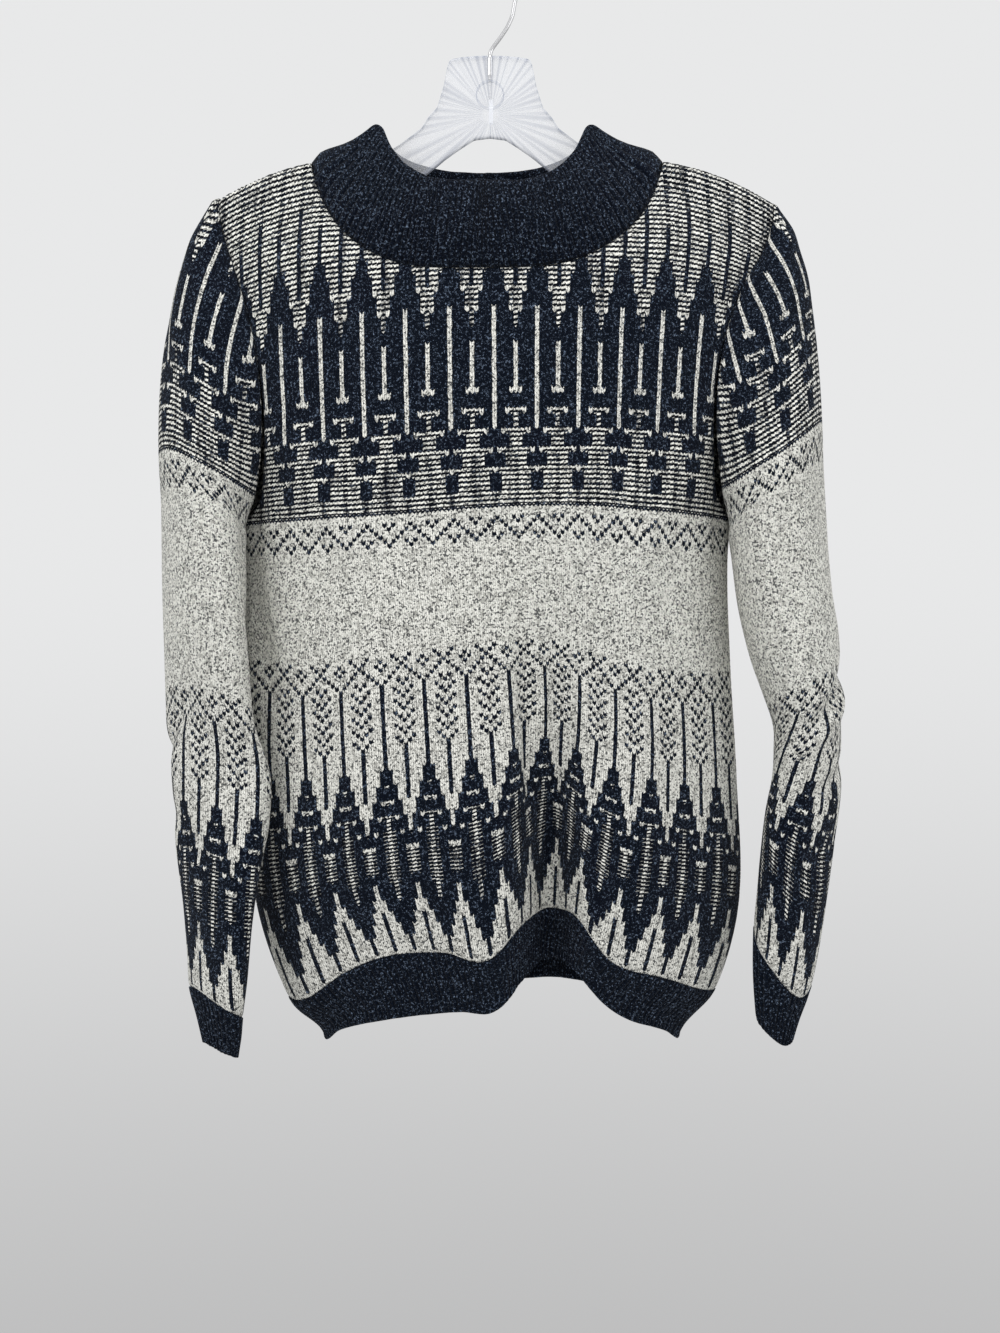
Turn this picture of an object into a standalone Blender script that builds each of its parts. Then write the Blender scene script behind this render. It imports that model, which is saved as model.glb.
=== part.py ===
"""A fair isle jumper on a clear plastic hanger, built as a maker cuts and joins it.

Every piece of knitting is a wall of its real thickness: front, back, two sleeves,
ribbed collar, two ribbed hem bands and two ribbed cuffs.  The moulded hanger and its
wire hook hold them up.  Metres, +Z up, the front faces -Y.  The origin is the inside
of the hook's top, where a rail carries the whole thing.
"""
import math

import bmesh
import bpy
import numpy as np
from mathutils import Vector

for old in list(bpy.data.objects):
    bpy.data.objects.remove(old, do_unlink=True)

# ---------------------------------------------------------------- driving dimensions
WALL = 0.0028              # thickness of the two-colour knitting
RIB_WALL = 0.0032          # thickness of the ribbing
COLLAR_WALL = 0.0048       # the collar is ribbing turned down double
SEAM_GAP = 0.0004          # clearance between pieces that are linked together
HALF_COLUMNS = 70.0        # stitch columns from the middle of a panel to its side seam
NECK_COLUMNS = 42.0        # half the stitch columns across the neck opening
NECK_SHIFT = -2.0          # columns by which the neck lies off the middle

SHOULDER_TOP = -0.157      # height where the shoulder meets the collar
UNDERARM = -0.440          # row of the panels where the armhole closes
HEM_SEAM = -0.757          # row of the panels where the ribbed hem band is linked on
HEM_DEPTH = 0.045          # depth of the ribbed hem band
BACK_HEM_RISE = 0.008      # how much shorter the middle of the back hangs
NECK_HALF_WIDTH = 0.131    # half the width of the neck opening
FRONT_NECK_DROP = 0.097    # how far the neckline dips at the front
BACK_NECK_DROP = 0.040     # and at the back
SHOULDER_ROLL = 0.012      # radius of the cloth as it turns over the hanger's arm

HANGER_TOP = -0.0762       # top edge of the hanger's moulded plate
ARM_HALF_THICKNESS = 0.0030
PLATE_HALF_THICKNESS = 0.0022
WIRE_RADIUS = 0.0016
HOOK_INSIDE_RADIUS = 0.0210

NECK_STEPS = 18            # facets along the neckline of each panel
SHOULDER_STEPS = 5         # along each shoulder
SIDE_STEPS = 9             # down each side seam
SLEEVE_STEPS = 20          # round each sleeve
SLEEVE_LENGTH_STEPS = 11   # down each sleeve's seam
BAND_STEPS = 2             # down each ribbed band
TOP_CORNERS = 3            # corners of the armhole that the sleeve's top edge passes

# Plan sections of the body from the shoulder down: its widths left and right of the
# origin, how far front and back stand out, and where the middle stitch column runs.
BODY_SECTIONS = [
    # height, left,   right,  front,  back,   middle
    (-0.157, 0.2150, 0.2250, 0.0360, 0.0360, 0.0030),
    (-0.210, 0.2130, 0.2220, 0.0520, 0.0380, 0.0030),
    (-0.256, 0.2080, 0.2120, 0.0620, 0.0440, 0.0030),
    (-0.320, 0.2020, 0.2000, 0.0700, 0.0480, 0.0035),
    (-0.400, 0.1930, 0.1900, 0.0760, 0.0500, 0.0045),
    (-0.455, 0.1895, 0.1830, 0.0800, 0.0500, 0.0070),
    (-0.520, 0.1910, 0.1850, 0.0840, 0.0500, 0.0120),
    (-0.600, 0.1880, 0.1900, 0.0870, 0.0500, 0.0170),
    (-0.690, 0.1810, 0.1920, 0.0880, 0.0500, 0.0210),
    (-0.757, 0.1550, 0.1735, 0.0820, 0.0450, 0.0240),
    (-0.802, 0.1270, 0.1450, 0.0760, 0.0390, 0.0250),
]

# Folds that run down the body: which panel, where, from what height they start, how
# deep they are at the hem, how wide, and how far they lift the hem.
BODY_FOLDS = [
    # panel, middle x, start, hem depth, half width, lift
    ("front", 0.044, -0.480, 0.0430, 0.0190, 0.0260),
    ("front", -0.052, -0.560, 0.0060, 0.0200, -0.0040),
    ("front", 0.098, -0.600, 0.0050, 0.0160, -0.0040),
    ("back", -0.062, -0.430, 0.0220, 0.0240, 0.0090),
    ("back", 0.071, -0.500, 0.0190, 0.0210, 0.0070),
]

# How far the knitted rows of the front hang below the middle, in millimetres, at
# thirteen places from the left side seam (-1) to the right one (1).
SAG_PLACES = (-1.0, -0.88, -0.70, -0.50, -0.32, -0.18, -0.04, 0.18, 0.38, 0.52, 0.75, 0.90, 1.0)
ROW_SAG = [
    # height, then one value at each of the places above
    (-0.157, 0, 0, 0, 0, 0, 0, 0, 0, 0, 0, 0, 0, 0),
    (-0.300, 13, 12, 9, 5, 3, 1, 0, 0, 0, 0, 1, 2, 2),
    (-0.430, 9, 9, 9, 8, 6, 4, 2, 0, 0, 2, 4, 5, 6),
    (-0.532, 12, 15, 19, 14, 8, 5, 2, 2, 12, 19, 24, 24, 24),
    (-0.665, 28, 27, 20, 12, 5, 4, -1, -1, 4, 13, 24, 30, 34),
    (-0.757, 43, 39, 14, -4, -6, 3, -7, -4, -12, 3, 21, 33, 37),
    (-0.802, 31, 18, 6, -4, -6, -3, -9, -10, -15, -12, 8, 20, 30),
]

# The armhole: how many stitch columns from the middle a panel's edge is at each row,
# and the sleeve's row that is linked there, counted down its top line.
ARMHOLE = [
    # row,    panel, sleeve row
    (-0.1570, 66.5, -0.0240),
    (-0.1620, 66.4, -0.0200),
    (-0.1750, 65.8, -0.0120),
    (-0.2050, 63.5, 0.0020),
    (-0.2400, 60.5, 0.0200),
    (-0.2800, 57.5, 0.0450),
    (-0.3100, 56.2, 0.0680),
    (-0.3450, 56.0, 0.0980),
    (-0.3800, 57.5, 0.1320),
    (-0.4150, 61.5, 0.1640),
    (-0.4400, 70.0, 0.1900),
]
CUFF_ROW = 0.565           # the sleeve's row where the cuff is linked on
CUFF_DEPTH = 0.046         # depth of the ribbed cuff

# Each hanging sleeve, by its rows.  The section is an oval: its middle, half its width,
# half its thickness and how far its wide face is turned round from the front.  Angles
# round it start at its outer end and go over its front: where the top line lies, and
# where the seam in front and the seam behind lie.  Then the height of the top line and
# how much lower the inside of the row hangs.  Rows above the underarm are open.
SLEEVES = {
    "left": [
        # row,    x,       y,       wide,   thick,  turn, line, front, back, top,  drop
        (-0.0240, -0.2080, 0.0000, 0.0110, 0.0060, 90.0, 100.0, 200.0, -20.0, -0.1900, 0.0),
        (0.0000, -0.2120, 0.0000, 0.0250, 0.0170, 90.0, 112.0, 205.0, -25.0, -0.2170, 0.010),
        (0.0200, -0.2120, 0.0000, 0.0330, 0.0240, 90.0, 116.0, 205.0, -25.0, -0.2380, 0.022),
        (0.0450, -0.2110, -0.0010, 0.0400, 0.0320, 90.0, 118.0, 205.0, -25.0, -0.2650, 0.030),
        (0.0700, -0.2110, -0.0020, 0.0450, 0.0380, 88.0, 120.0, 210.0, -30.0, -0.2920, 0.034),
        (0.1000, -0.2120, -0.0040, 0.0500, 0.0400, 86.0, 122.0, 216.0, -36.0, -0.3240, 0.036),
        (0.1320, -0.2140, -0.0080, 0.0550, 0.0390, 82.0, 120.0, 226.0, -48.0, -0.3580, 0.034),
        (0.1640, -0.2150, -0.0120, 0.0590, 0.0370, 78.0, 118.0, 244.0, -66.0, -0.3910, 0.032),
        (0.1900, -0.2155, -0.0170, 0.0600, 0.0330, 72.0, 116.0, 268.0, -92.0, -0.4170, 0.036),
        (0.2500, -0.2150, -0.0285, 0.0560, 0.0290, 65.0, 110.0, 274.0, -86.0, -0.4760, 0.026),
        (0.3000, -0.2120, -0.0365, 0.0510, 0.0265, 57.0, 104.0, 268.0, -92.0, -0.5260, 0.022),
        (0.3500, -0.2080, -0.0425, 0.0460, 0.0230, 44.0, 88.0, 260.0, -100.0, -0.5750, 0.020),
        (0.3850, -0.2000, -0.0480, 0.0415, 0.0205, 22.0, 62.0, 238.0, -122.0, -0.6080, 0.020),
        (0.4200, -0.1985, -0.0500, 0.0400, 0.0190, 22.0, 56.0, 236.0, -124.0, -0.6430, 0.018),
        (0.4600, -0.2010, -0.0500, 0.0380, 0.0175, 32.0, 60.0, 240.0, -120.0, -0.6820, 0.016),
        (0.5000, -0.2015, -0.0490, 0.0355, 0.0165, 42.0, 62.0, 242.0, -118.0, -0.7210, 0.014),
        (0.5400, -0.2020, -0.0480, 0.0330, 0.0155, 48.0, 66.0, 246.0, -114.0, -0.7600, 0.020),
        (0.5650, -0.2030, -0.0470, 0.0300, 0.0145, 50.0, 70.0, 250.0, -110.0, -0.7840, 0.022),
        (0.5880, -0.2010, -0.0465, 0.0245, 0.0120, 50.0, 72.0, 252.0, -108.0, -0.8060, 0.016),
        (0.6110, -0.1995, -0.0460, 0.0190, 0.0095, 50.0, 74.0, 254.0, -106.0, -0.8260, 0.010),
    ],
    "right": [
        (-0.0240, 0.2160, 0.0000, 0.0110, 0.0060, 90.0, 100.0, 200.0, -20.0, -0.1950, 0.0),
        (0.0000, 0.2180, 0.0000, 0.0250, 0.0150, 90.0, 106.0, 205.0, -25.0, -0.2120, 0.014),
        (0.0200, 0.2160, 0.0000, 0.0330, 0.0220, 90.0, 104.0, 205.0, -25.0, -0.2280, 0.032),
        (0.0450, 0.2120, -0.0010, 0.0400, 0.0320, 90.0, 102.0, 205.0, -25.0, -0.2490, 0.044),
        (0.0700, 0.2090, -0.0020, 0.0450, 0.0380, 88.0, 100.0, 210.0, -30.0, -0.2720, 0.050),
        (0.1000, 0.2090, -0.0040, 0.0500, 0.0410, 86.0, 98.0, 216.0, -36.0, -0.3010, 0.056),
        (0.1320, 0.2110, -0.0080, 0.0550, 0.0410, 82.0, 96.0, 226.0, -48.0, -0.3340, 0.056),
        (0.1640, 0.2140, -0.0120, 0.0590, 0.0390, 78.0, 92.0, 244.0, -66.0, -0.3680, 0.054),
        (0.1900, 0.2170, -0.0150, 0.0600, 0.0360, 74.0, 90.0, 268.0, -92.0, -0.3950, 0.060),
        (0.2500, 0.2230, -0.0190, 0.0570, 0.0330, 72.0, 84.0, 264.0, -96.0, -0.4560, 0.050),
        (0.2900, 0.2290, -0.0230, 0.0530, 0.0310, 72.0, 82.0, 262.0, -98.0, -0.4970, 0.044),
        (0.3250, 0.2350, -0.0270, 0.0480, 0.0280, 74.0, 84.0, 264.0, -96.0, -0.5330, 0.036),
        (0.3550, 0.2380, -0.0300, 0.0440, 0.0250, 78.0, 90.0, 270.0, -90.0, -0.5640, 0.026),
        (0.3900, 0.2385, -0.0310, 0.0400, 0.0245, 70.0, 92.0, 272.0, -88.0, -0.6000, 0.010),
        (0.4300, 0.2380, -0.0310, 0.0360, 0.0235, 58.0, 92.0, 272.0, -88.0, -0.6410, -0.014),
        (0.4700, 0.2330, -0.0310, 0.0330, 0.0220, 46.0, 90.0, 270.0, -90.0, -0.6830, -0.032),
        (0.5100, 0.2280, -0.0320, 0.0310, 0.0200, 42.0, 86.0, 266.0, -94.0, -0.7290, -0.050),
        (0.5400, 0.2240, -0.0320, 0.0300, 0.0180, 42.0, 84.0, 264.0, -96.0, -0.7660, -0.060),
        (0.5650, 0.2200, -0.0320, 0.0285, 0.0160, 42.0, 82.0, 262.0, -98.0, -0.7930, -0.062),
        (0.5880, 0.2160, -0.0320, 0.0235, 0.0130, 42.0, 80.0, 260.0, -100.0, -0.8120, -0.044),
        (0.6110, 0.2140, -0.0315, 0.0175, 0.0100, 42.0, 80.0, 260.0, -100.0, -0.8300, -0.026),
    ],
}

# The hanger from one arm's end to the middle: distance out, top edge and bottom edge.
# Beyond the collar the top edge follows the shoulder's cloth.
HANGER_OUTLINE = [
    # x,      top,      bottom
    (0.0000, -0.0762, -0.1397),
    (0.0120, -0.0766, -0.1412),
    (0.0208, -0.0774, -0.1467),
    (0.0285, -0.0786, -0.1520),
    (0.0312, -0.0800, -0.1540),
    (0.0330, -0.0850, -0.1553),
    (0.0354, -0.0990, -0.1570),
    (0.0408, -0.1163, -0.1617),
    (0.0477, -0.1240, -0.1672),
    (0.0527, -0.1321, -0.1700),
    (0.0685, -0.1440, -0.1745),
    (0.0850, -0.1545, -0.1790),
    (0.1080, -0.1640, -0.1830),
]
ARM_OUTLINE = [
    # x,    how far below the cloth, depth of the arm
    (0.135, 0.0120, 0.0155),
    (0.155, 0.0080, 0.0140),
    (0.172, 0.0046, 0.0130),
    (0.184, 0.0040, 0.0120),
    (0.193, 0.0042, 0.0100),
    (0.197, 0.0055, 0.0060),
]


# ---------------------------------------------------------------- curves and tables
def smooth_table(place, places, values):
    """A smooth curve through a table's values, level beyond its two ends."""
    if place <= places[0]:
        return values[0]
    if place >= places[-1]:
        return values[-1]
    i = max(k for k in range(len(places) - 1) if places[k] <= place)
    span = places[i + 1] - places[i]
    t = (place - places[i]) / span

    def slope(k):
        if k == 0 or k == len(places) - 1:
            return 0.0
        return (values[k + 1] - values[k - 1]) / (places[k + 1] - places[k - 1])

    ta, tb = slope(i) * span, slope(i + 1) * span
    return ((2 * t ** 3 - 3 * t ** 2 + 1) * values[i] + (t ** 3 - 2 * t ** 2 + t) * ta
            + (-2 * t ** 3 + 3 * t ** 2) * values[i + 1] + (t ** 3 - t ** 2) * tb)


def table_at(table, place, sign=1.0):
    """Every other column of a table at one place of its first column."""
    places = [sign * row[0] for row in table]
    return [smooth_table(sign * place, places, [row[k] for row in table])
            for k in range(1, len(table[0]))]


def fade(value, start, end):
    """0 above start, 1 below end, smooth between them."""
    t = min(1.0, max(0.0, (start - value) / (start - end)))
    return t * t * (3 - 2 * t)


def shoulder_line(x):
    """Height of the shoulder's ridge at a distance x from the middle."""
    out = max(0.0, abs(x) - NECK_HALF_WIDTH)
    return SHOULDER_TOP - (0.15 if x < 0 else 0.12) * out - 3.0 * out * out


# ---------------------------------------------------------------- the body's drape
_sections = {}


def body_section(panel, row):
    """Plan curve of one row: x and y along it, and the stitch column of each place."""
    key = (panel, round(row, 6))
    if key not in _sections:
        left, right, front, back, middle = table_at(BODY_SECTIONS, row, -1.0)
        side = -1.0 if panel == "front" else 1.0
        depth = front if panel == "front" else back
        turn = np.linspace(-math.pi / 2, math.pi / 2, 241)
        across = np.sin(turn)
        x = np.where(across < 0, across * left, across * right)
        rounded = side * depth * np.cos(turn) ** 1.2
        y = rounded
        for name, fold_x, start, fold_depth, half_width, _lift in BODY_FOLDS:
            if name == panel:
                reach = fold_depth * fade(row, start, HEM_SEAM)
                folded = np.exp(-((x - fold_x) / half_width) ** 2) * (1.0 - across ** 8)
                y = y - side * reach * folded
        # below the underarm the columns stretch apart round the sides
        stretch = 0.5 * fade(row, UNDERARM, UNDERARM - 0.11)
        steps = np.hypot(np.diff(x), np.diff(y - stretch * rounded))
        along = np.concatenate([[0.0], np.cumsum(steps)])
        at_middle = np.interp(middle, x, along)
        columns = np.where(along < at_middle, (along - at_middle) / at_middle,
                           (along - at_middle) / (along[-1] - at_middle))
        _sections[key] = (x, y, columns * HALF_COLUMNS)
    return _sections[key]


def body_point(panel, column, row):
    """The outside of a body panel at a stitch column and a row.

    A row is named by the height it has at the middle of the front."""
    x_line, y_line, columns = body_section(panel, row)
    x = float(np.interp(column, columns, x_line))
    y = float(np.interp(column, columns, y_line))
    height = row + (shoulder_line(x) - SHOULDER_TOP) * (1.0 - fade(row, SHOULDER_TOP, -0.32))
    sags = table_at(ROW_SAG, row, -1.0)
    place = column / HALF_COLUMNS
    if panel == "front":
        height -= smooth_table(place, SAG_PLACES, sags) / 1000.0
    else:
        edge = (sags[0] if place < 0 else sags[-1]) / 1000.0
        rise = BACK_HEM_RISE * fade(row, -0.430, HEM_SEAM)
        height += rise - (edge + rise) * abs(place) ** 2.5
    for name, fold_x, start, _depth, half_width, lift in BODY_FOLDS:
        if name == panel:
            lifted = math.exp(-((x - fold_x) / (1.35 * half_width)) ** 2)
            height += lift * fade(row, start, HEM_SEAM) * lifted * (1.0 - place ** 8)
    below = max(0.0, shoulder_line(x) - height)
    if below < 0.09:
        rolled = SHOULDER_ROLL
        if below < SHOULDER_ROLL:
            rolled *= math.sqrt(1.0 - (1.0 - below / SHOULDER_ROLL) ** 2)
        rolled = min(rolled, abs(y) + 0.002)
        y = math.copysign(rolled + max(0.0, abs(y) - rolled) * fade(-below, 0.0, -0.09), y)
    return Vector((x, y, height))


def neckline(panel, column):
    """The row at which a panel ends at its top, for one stitch column."""
    place = min(1.0, abs(column - NECK_SHIFT) / NECK_COLUMNS)
    drop = FRONT_NECK_DROP if panel == "front" else BACK_NECK_DROP
    return SHOULDER_TOP - drop * (1.0 - place ** 3.2) ** 0.75


def panel_edge(row):
    """How many stitch columns from the middle a panel ends at its side, at one row."""
    return table_at(ARMHOLE, row, -1.0)[0]


# ---------------------------------------------------------------- the sleeves' drape
def armhole(sleeve_row):
    """The panels' row and stitch column linked to one row of a sleeve's edge."""
    rows = [line[2] for line in ARMHOLE]
    return (smooth_table(sleeve_row, rows, [line[0] for line in ARMHOLE]),
            smooth_table(sleeve_row, rows, [line[1] for line in ARMHOLE]))


def sleeve_oval(side, around, row):
    """A point of a sleeve's oval: around it from -1 at its seam behind, through 0 at
    the top line, to 1 at its seam in front."""
    x, y, wide, thick, turn, line, front, back, top, drop = table_at(SLEEVES[side], row)
    out = -1.0 if side == "left" else 1.0
    end = front if around >= 0 else back
    angles = np.radians(np.linspace(line, end, 61))
    lean = math.radians(turn)
    px = x + out * (np.cos(angles) * wide * math.cos(lean)
                    + np.sin(angles) * thick * math.sin(lean))
    py = y + np.cos(angles) * wide * math.sin(lean) - np.sin(angles) * thick * math.cos(lean)
    along = np.concatenate([[0.0], np.cumsum(np.hypot(np.diff(px), np.diff(py)))])
    place = abs(around) * along[-1]
    height = top - drop * (1.0 - math.cos(math.pi * around)) / 2.0
    return Vector((np.interp(place, along, px), np.interp(place, along, py), height))


def sleeve_point(side, around, row):
    """The outside of a sleeve, its edges drawn to the armhole they are linked to."""
    point = sleeve_oval(side, around, row)
    let_go = fade(-row, -ARMHOLE[-1][2], -ARMHOLE[-1][2] - 0.06)
    if let_go < 1.0:
        held = min(row, ARMHOLE[-1][2])
        panel_row, column = armhole(held)
        panel = "front" if around >= 0 else "back"
        edge = body_point(panel, column if side == "right" else -column, panel_row)
        end = sleeve_oval(side, math.copysign(1.0, around), held)
        point += (edge - end) * abs(around) ** 2.2 * (1.0 - let_go)
    return point


# ---------------------------------------------------------------- the collar's drape
COLLAR_TOP = [
    # turn round the neck from the middle of the front: x, y and height of the fold
    (0.0, 0.000, -0.0600, -0.1880),
    (30.0, 0.034, -0.0570, -0.1860),
    (52.0, 0.055, -0.0470, -0.1750),
    (68.0, 0.069, -0.0340, -0.1570),
    (80.0, 0.078, -0.0180, -0.1360),
    (92.0, 0.083, -0.0020, -0.1290),
    (105.0, 0.081, 0.0140, -0.1330),
    (125.0, 0.064, 0.0280, -0.1460),
    (150.0, 0.035, 0.0370, -0.1530),
    (180.0, 0.000, 0.0400, -0.1550),
]
COLLAR_SHIFT = -0.0045     # the collar's top lies a little towards the left shoulder


def collar_base(turn):
    """The neckline all round: turn 0 in front, 90 at the right shoulder, 180 behind."""
    lap = (turn + 180.0) % 360.0 - 180.0
    side = 1.0 if lap >= 0 else -1.0
    place = abs(lap) / 90.0
    if place <= 1.0:
        column = side * place * NECK_COLUMNS + NECK_SHIFT
        return body_point("front", column, neckline("front", column))
    column = side * (2.0 - place) * NECK_COLUMNS + NECK_SHIFT
    return body_point("back", column, neckline("back", column))


def collar_point(turn, rise):
    """The outside of the collar: rise 0 at its seam, 1 at the fold along its top."""
    lap = (turn + 180.0) % 360.0 - 180.0
    x, y, height = table_at(COLLAR_TOP, abs(lap))
    fold = Vector((math.copysign(x, lap) + COLLAR_SHIFT, y, height))
    base = collar_base(turn)
    belly = math.sin(math.pi * rise) * 0.006
    point = base.lerp(fold, rise)
    point.y += math.copysign(belly, y)
    # over the shoulders it stands up from its seam before it leans in
    on_shoulder = math.exp(-((abs(lap) - 90.0) / 24.0) ** 2)
    point.z += 0.0032 * on_shoulder * math.sin(2.0 * math.pi * rise ** 0.65)
    return point


# ---------------------------------------------------------------- grids of the knitting
def spread(start, end, steps):
    """Evenly spaced numbers from start to end, both included."""
    return [start + (end - start) * k / steps for k in range(steps + 1)]


def places_across():
    """Places across a panel from -1 at one side seam to 1 at the other."""
    corner = NECK_COLUMNS / HALF_COLUMNS
    shoulder = spread(corner, 1.0, SHOULDER_STEPS)[1:]
    return ([-place for place in reversed(shoulder)] + spread(-corner, corner, NECK_STEPS)
            + shoulder)


def top_column(place):
    """The stitch column at a place across the panel's neckline and shoulders."""
    corner = NECK_COLUMNS / HALF_COLUMNS
    if abs(place) <= corner:
        return place * HALF_COLUMNS + NECK_SHIFT
    share = (abs(place) - corner) / (1.0 - corner)
    start = math.copysign(NECK_COLUMNS, place) + NECK_SHIFT
    return start + share * (math.copysign(ARMHOLE[0][1], place) - start)


def panel_grid(panel):
    """Lines of outside points from the neckline and shoulders down to the hem's seam."""
    grid = []
    for edge_row in [line[0] for line in ARMHOLE] + spread(UNDERARM, HEM_SEAM, SIDE_STEPS)[1:]:
        down = (edge_row - SHOULDER_TOP) / (HEM_SEAM - SHOULDER_TOP)
        settle = fade(-down, 0.0, -0.35)
        line = []
        for place in places_across():
            start = top_column(place)
            top = neckline(panel, start)
            column = start + (place * panel_edge(edge_row) - start) * settle
            if abs(place) == 1.0:
                column = place * panel_edge(edge_row)
            line.append(body_point(panel, column, top + (HEM_SEAM - top) * down))
        grid.append(line)
    return grid


def hem_grid(panel):
    """Lines of outside points of a hem band from its seam down to its edge."""
    return [[body_point(panel, place * HALF_COLUMNS, row) for place in places_across()]
            for row in spread(HEM_SEAM, HEM_SEAM - HEM_DEPTH, BAND_STEPS)]


def armhole_corner(side, panel, k):
    """One corner of the armhole's edge, counted down from the shoulder's end."""
    row, column, _sleeve_row = ARMHOLE[k]
    return body_point(panel, column if side == "right" else -column, row)


def sleeve_top(side):
    """The sleeve's top edge, linked over the shoulder's end: for every point the two
    armhole corners it lies between and how far it is from one to the other."""
    for around in spread(-1.0, 1.0, SLEEVE_STEPS):
        panel = "front" if around >= 0 else "back"
        k = min(TOP_CORNERS - 1, int(abs(around) * TOP_CORNERS + 1e-9))
        share = abs(around) * TOP_CORNERS - k
        yield (armhole_corner(side, panel, k), armhole_corner(side, panel, k + 1), share)


def sleeve_grid(side):
    """Lines of outside points of a sleeve from the shoulder down to the cuff's seam."""
    linked = [line[2] for line in ARMHOLE[TOP_CORNERS + 1:]]
    rows = linked + spread(linked[-1], CUFF_ROW, SLEEVE_LENGTH_STEPS)[1:]
    top = [one.lerp(two, share) for one, two, share in sleeve_top(side)]
    return [top] + [[sleeve_point(side, around, row)
                     for around in spread(-1.0, 1.0, SLEEVE_STEPS)] for row in rows]


def cuff_grid(side):
    """Lines of outside points of a cuff from its seam down to its edge."""
    return [[sleeve_point(side, around, row) for around in spread(-1.0, 1.0, SLEEVE_STEPS)]
            for row in spread(CUFF_ROW, CUFF_ROW + CUFF_DEPTH, BAND_STEPS)]


def collar_grid():
    """Lines of outside points of the collar from its seam up to its fold."""
    turns = [360.0 * k / (2 * NECK_STEPS) for k in range(2 * NECK_STEPS + 1)]
    return [[collar_point(turn, rise) for turn in turns] for rise in spread(0.0, 1.0, 4)]


# ---------------------------------------------------------------- walls from grids
def grid_normals(grid, outward):
    """The cloth's outward direction at every point of a grid."""
    lines, points = len(grid), len(grid[0])
    normals = [[Vector() for _ in range(points)] for _ in range(lines)]
    for i in range(lines - 1):
        for j in range(points - 1):
            a, b = grid[i][j], grid[i][j + 1]
            c, d = grid[i + 1][j + 1], grid[i + 1][j]
            facing = (c - a).cross(d - b) * outward
            for k, l in ((i, j), (i, j + 1), (i + 1, j + 1), (i + 1, j)):
                normals[k][l] += facing.normalized()
    return normals


def seam_key(point):
    return tuple(round(value * 20000) for value in point)


def draw_in(lines, i, j, gap):
    """Move one edge point of a wall away from its seams, along the cloth."""
    point = lines[i][j]
    moved = Vector(point)
    if i == 0:
        moved += (lines[1][j] - point).normalized() * gap
    if i == len(lines) - 1:
        moved += (lines[-2][j] - point).normalized() * gap
    if j == 0:
        moved += (lines[i][1] - point).normalized() * gap
    if j == len(lines[0]) - 1:
        moved += (lines[i][-2] - point).normalized() * gap
    return moved


def knitted_wall(name, grid, thickness, outward, seam_normals, ring, material):
    """A closed wall with its outside on the grid; a ring's first and last points meet."""
    lines, points = len(grid), len(grid[0])
    normals = [[seam_normals[seam_key(p)].normalized() for p in line] for line in grid]
    depths = [min(thickness, WALL) if i == 0 else thickness for i in range(lines)]
    inside = [[p - n * depth for p, n in zip(line, facings)]
              for line, facings, depth in zip(grid, normals, depths)]
    faces_of = []
    mesh = bmesh.new()
    for layer in (grid, inside):
        drawn = []
        for i in range(lines):
            if ring:
                line = [Vector(p) for p in layer[i]]
                if i == 0:
                    line = [p + (layer[1][j] - p).normalized() * SEAM_GAP * 0.5
                            for j, p in enumerate(line)]
                line[-1] = line[0]
            else:
                line = [draw_in(layer, i, j, SEAM_GAP * 0.5) for j in range(points)]
            verts = [mesh.verts.new(p) for p in (line[:-1] if ring else line)]
            drawn.append(verts + verts[:1] if ring else verts)
        faces_of.append(drawn)
    outer, inner = faces_of

    def quad(a, b, c, d):
        if (a.co - c.co).length <= (b.co - d.co).length:
            mesh.faces.new((a, b, c))
            mesh.faces.new((a, c, d))
        else:
            mesh.faces.new((a, b, d))
            mesh.faces.new((b, c, d))

    for i in range(lines - 1):
        for j in range(points - 1):
            quad(outer[i][j], outer[i][j + 1], outer[i + 1][j + 1], outer[i + 1][j])
            quad(inner[i][j], inner[i + 1][j], inner[i + 1][j + 1], inner[i][j + 1])
    for j in range(points - 1):
        quad(outer[0][j + 1], outer[0][j], inner[0][j], inner[0][j + 1])
        quad(outer[-1][j], outer[-1][j + 1], inner[-1][j + 1], inner[-1][j])
    if not ring:
        for i in range(lines - 1):
            quad(outer[i][0], outer[i + 1][0], inner[i + 1][0], inner[i][0])
            quad(outer[i + 1][-1], outer[i][-1], inner[i][-1], inner[i + 1][-1])
    bmesh.ops.recalc_face_normals(mesh, faces=mesh.faces)
    return add_object(name, mesh, material)


def add_object(name, mesh, material):
    data = bpy.data.meshes.new(name)
    mesh.to_mesh(data)
    mesh.free()
    obj = bpy.data.objects.new(name, data)
    obj.data.materials.append(material)
    bpy.context.scene.collection.objects.link(obj)
    return obj


def plain_material(name, colour, roughness, metallic=0.0):
    material = bpy.data.materials.new(name)
    material.use_nodes = True
    shader = material.node_tree.nodes["Principled BSDF"]
    shader.inputs["Base Color"].default_value = (*colour, 1.0)
    shader.inputs["Roughness"].default_value = roughness
    shader.inputs["Metallic"].default_value = metallic
    return material


# ---------------------------------------------------------------- hanger and hook
def skin(mesh, rings):
    """Join equal rings of points into a closed tube with flat ends."""
    made = [[mesh.verts.new(p) for p in ring] for ring in rings]
    count = len(made[0])
    for one, two in zip(made[:-1], made[1:]):
        for k in range(count):
            after = (k + 1) % count
            mesh.faces.new((one[k], one[after], two[after]))
            mesh.faces.new((one[k], two[after], two[k]))
    for ring in (made[0], made[-1]):
        middle = mesh.verts.new(sum((v.co for v in ring), Vector()) / count)
        for k in range(count):
            mesh.faces.new((ring[k], ring[(k + 1) % count], middle))
    bmesh.ops.recalc_face_normals(mesh, faces=mesh.faces)


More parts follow.
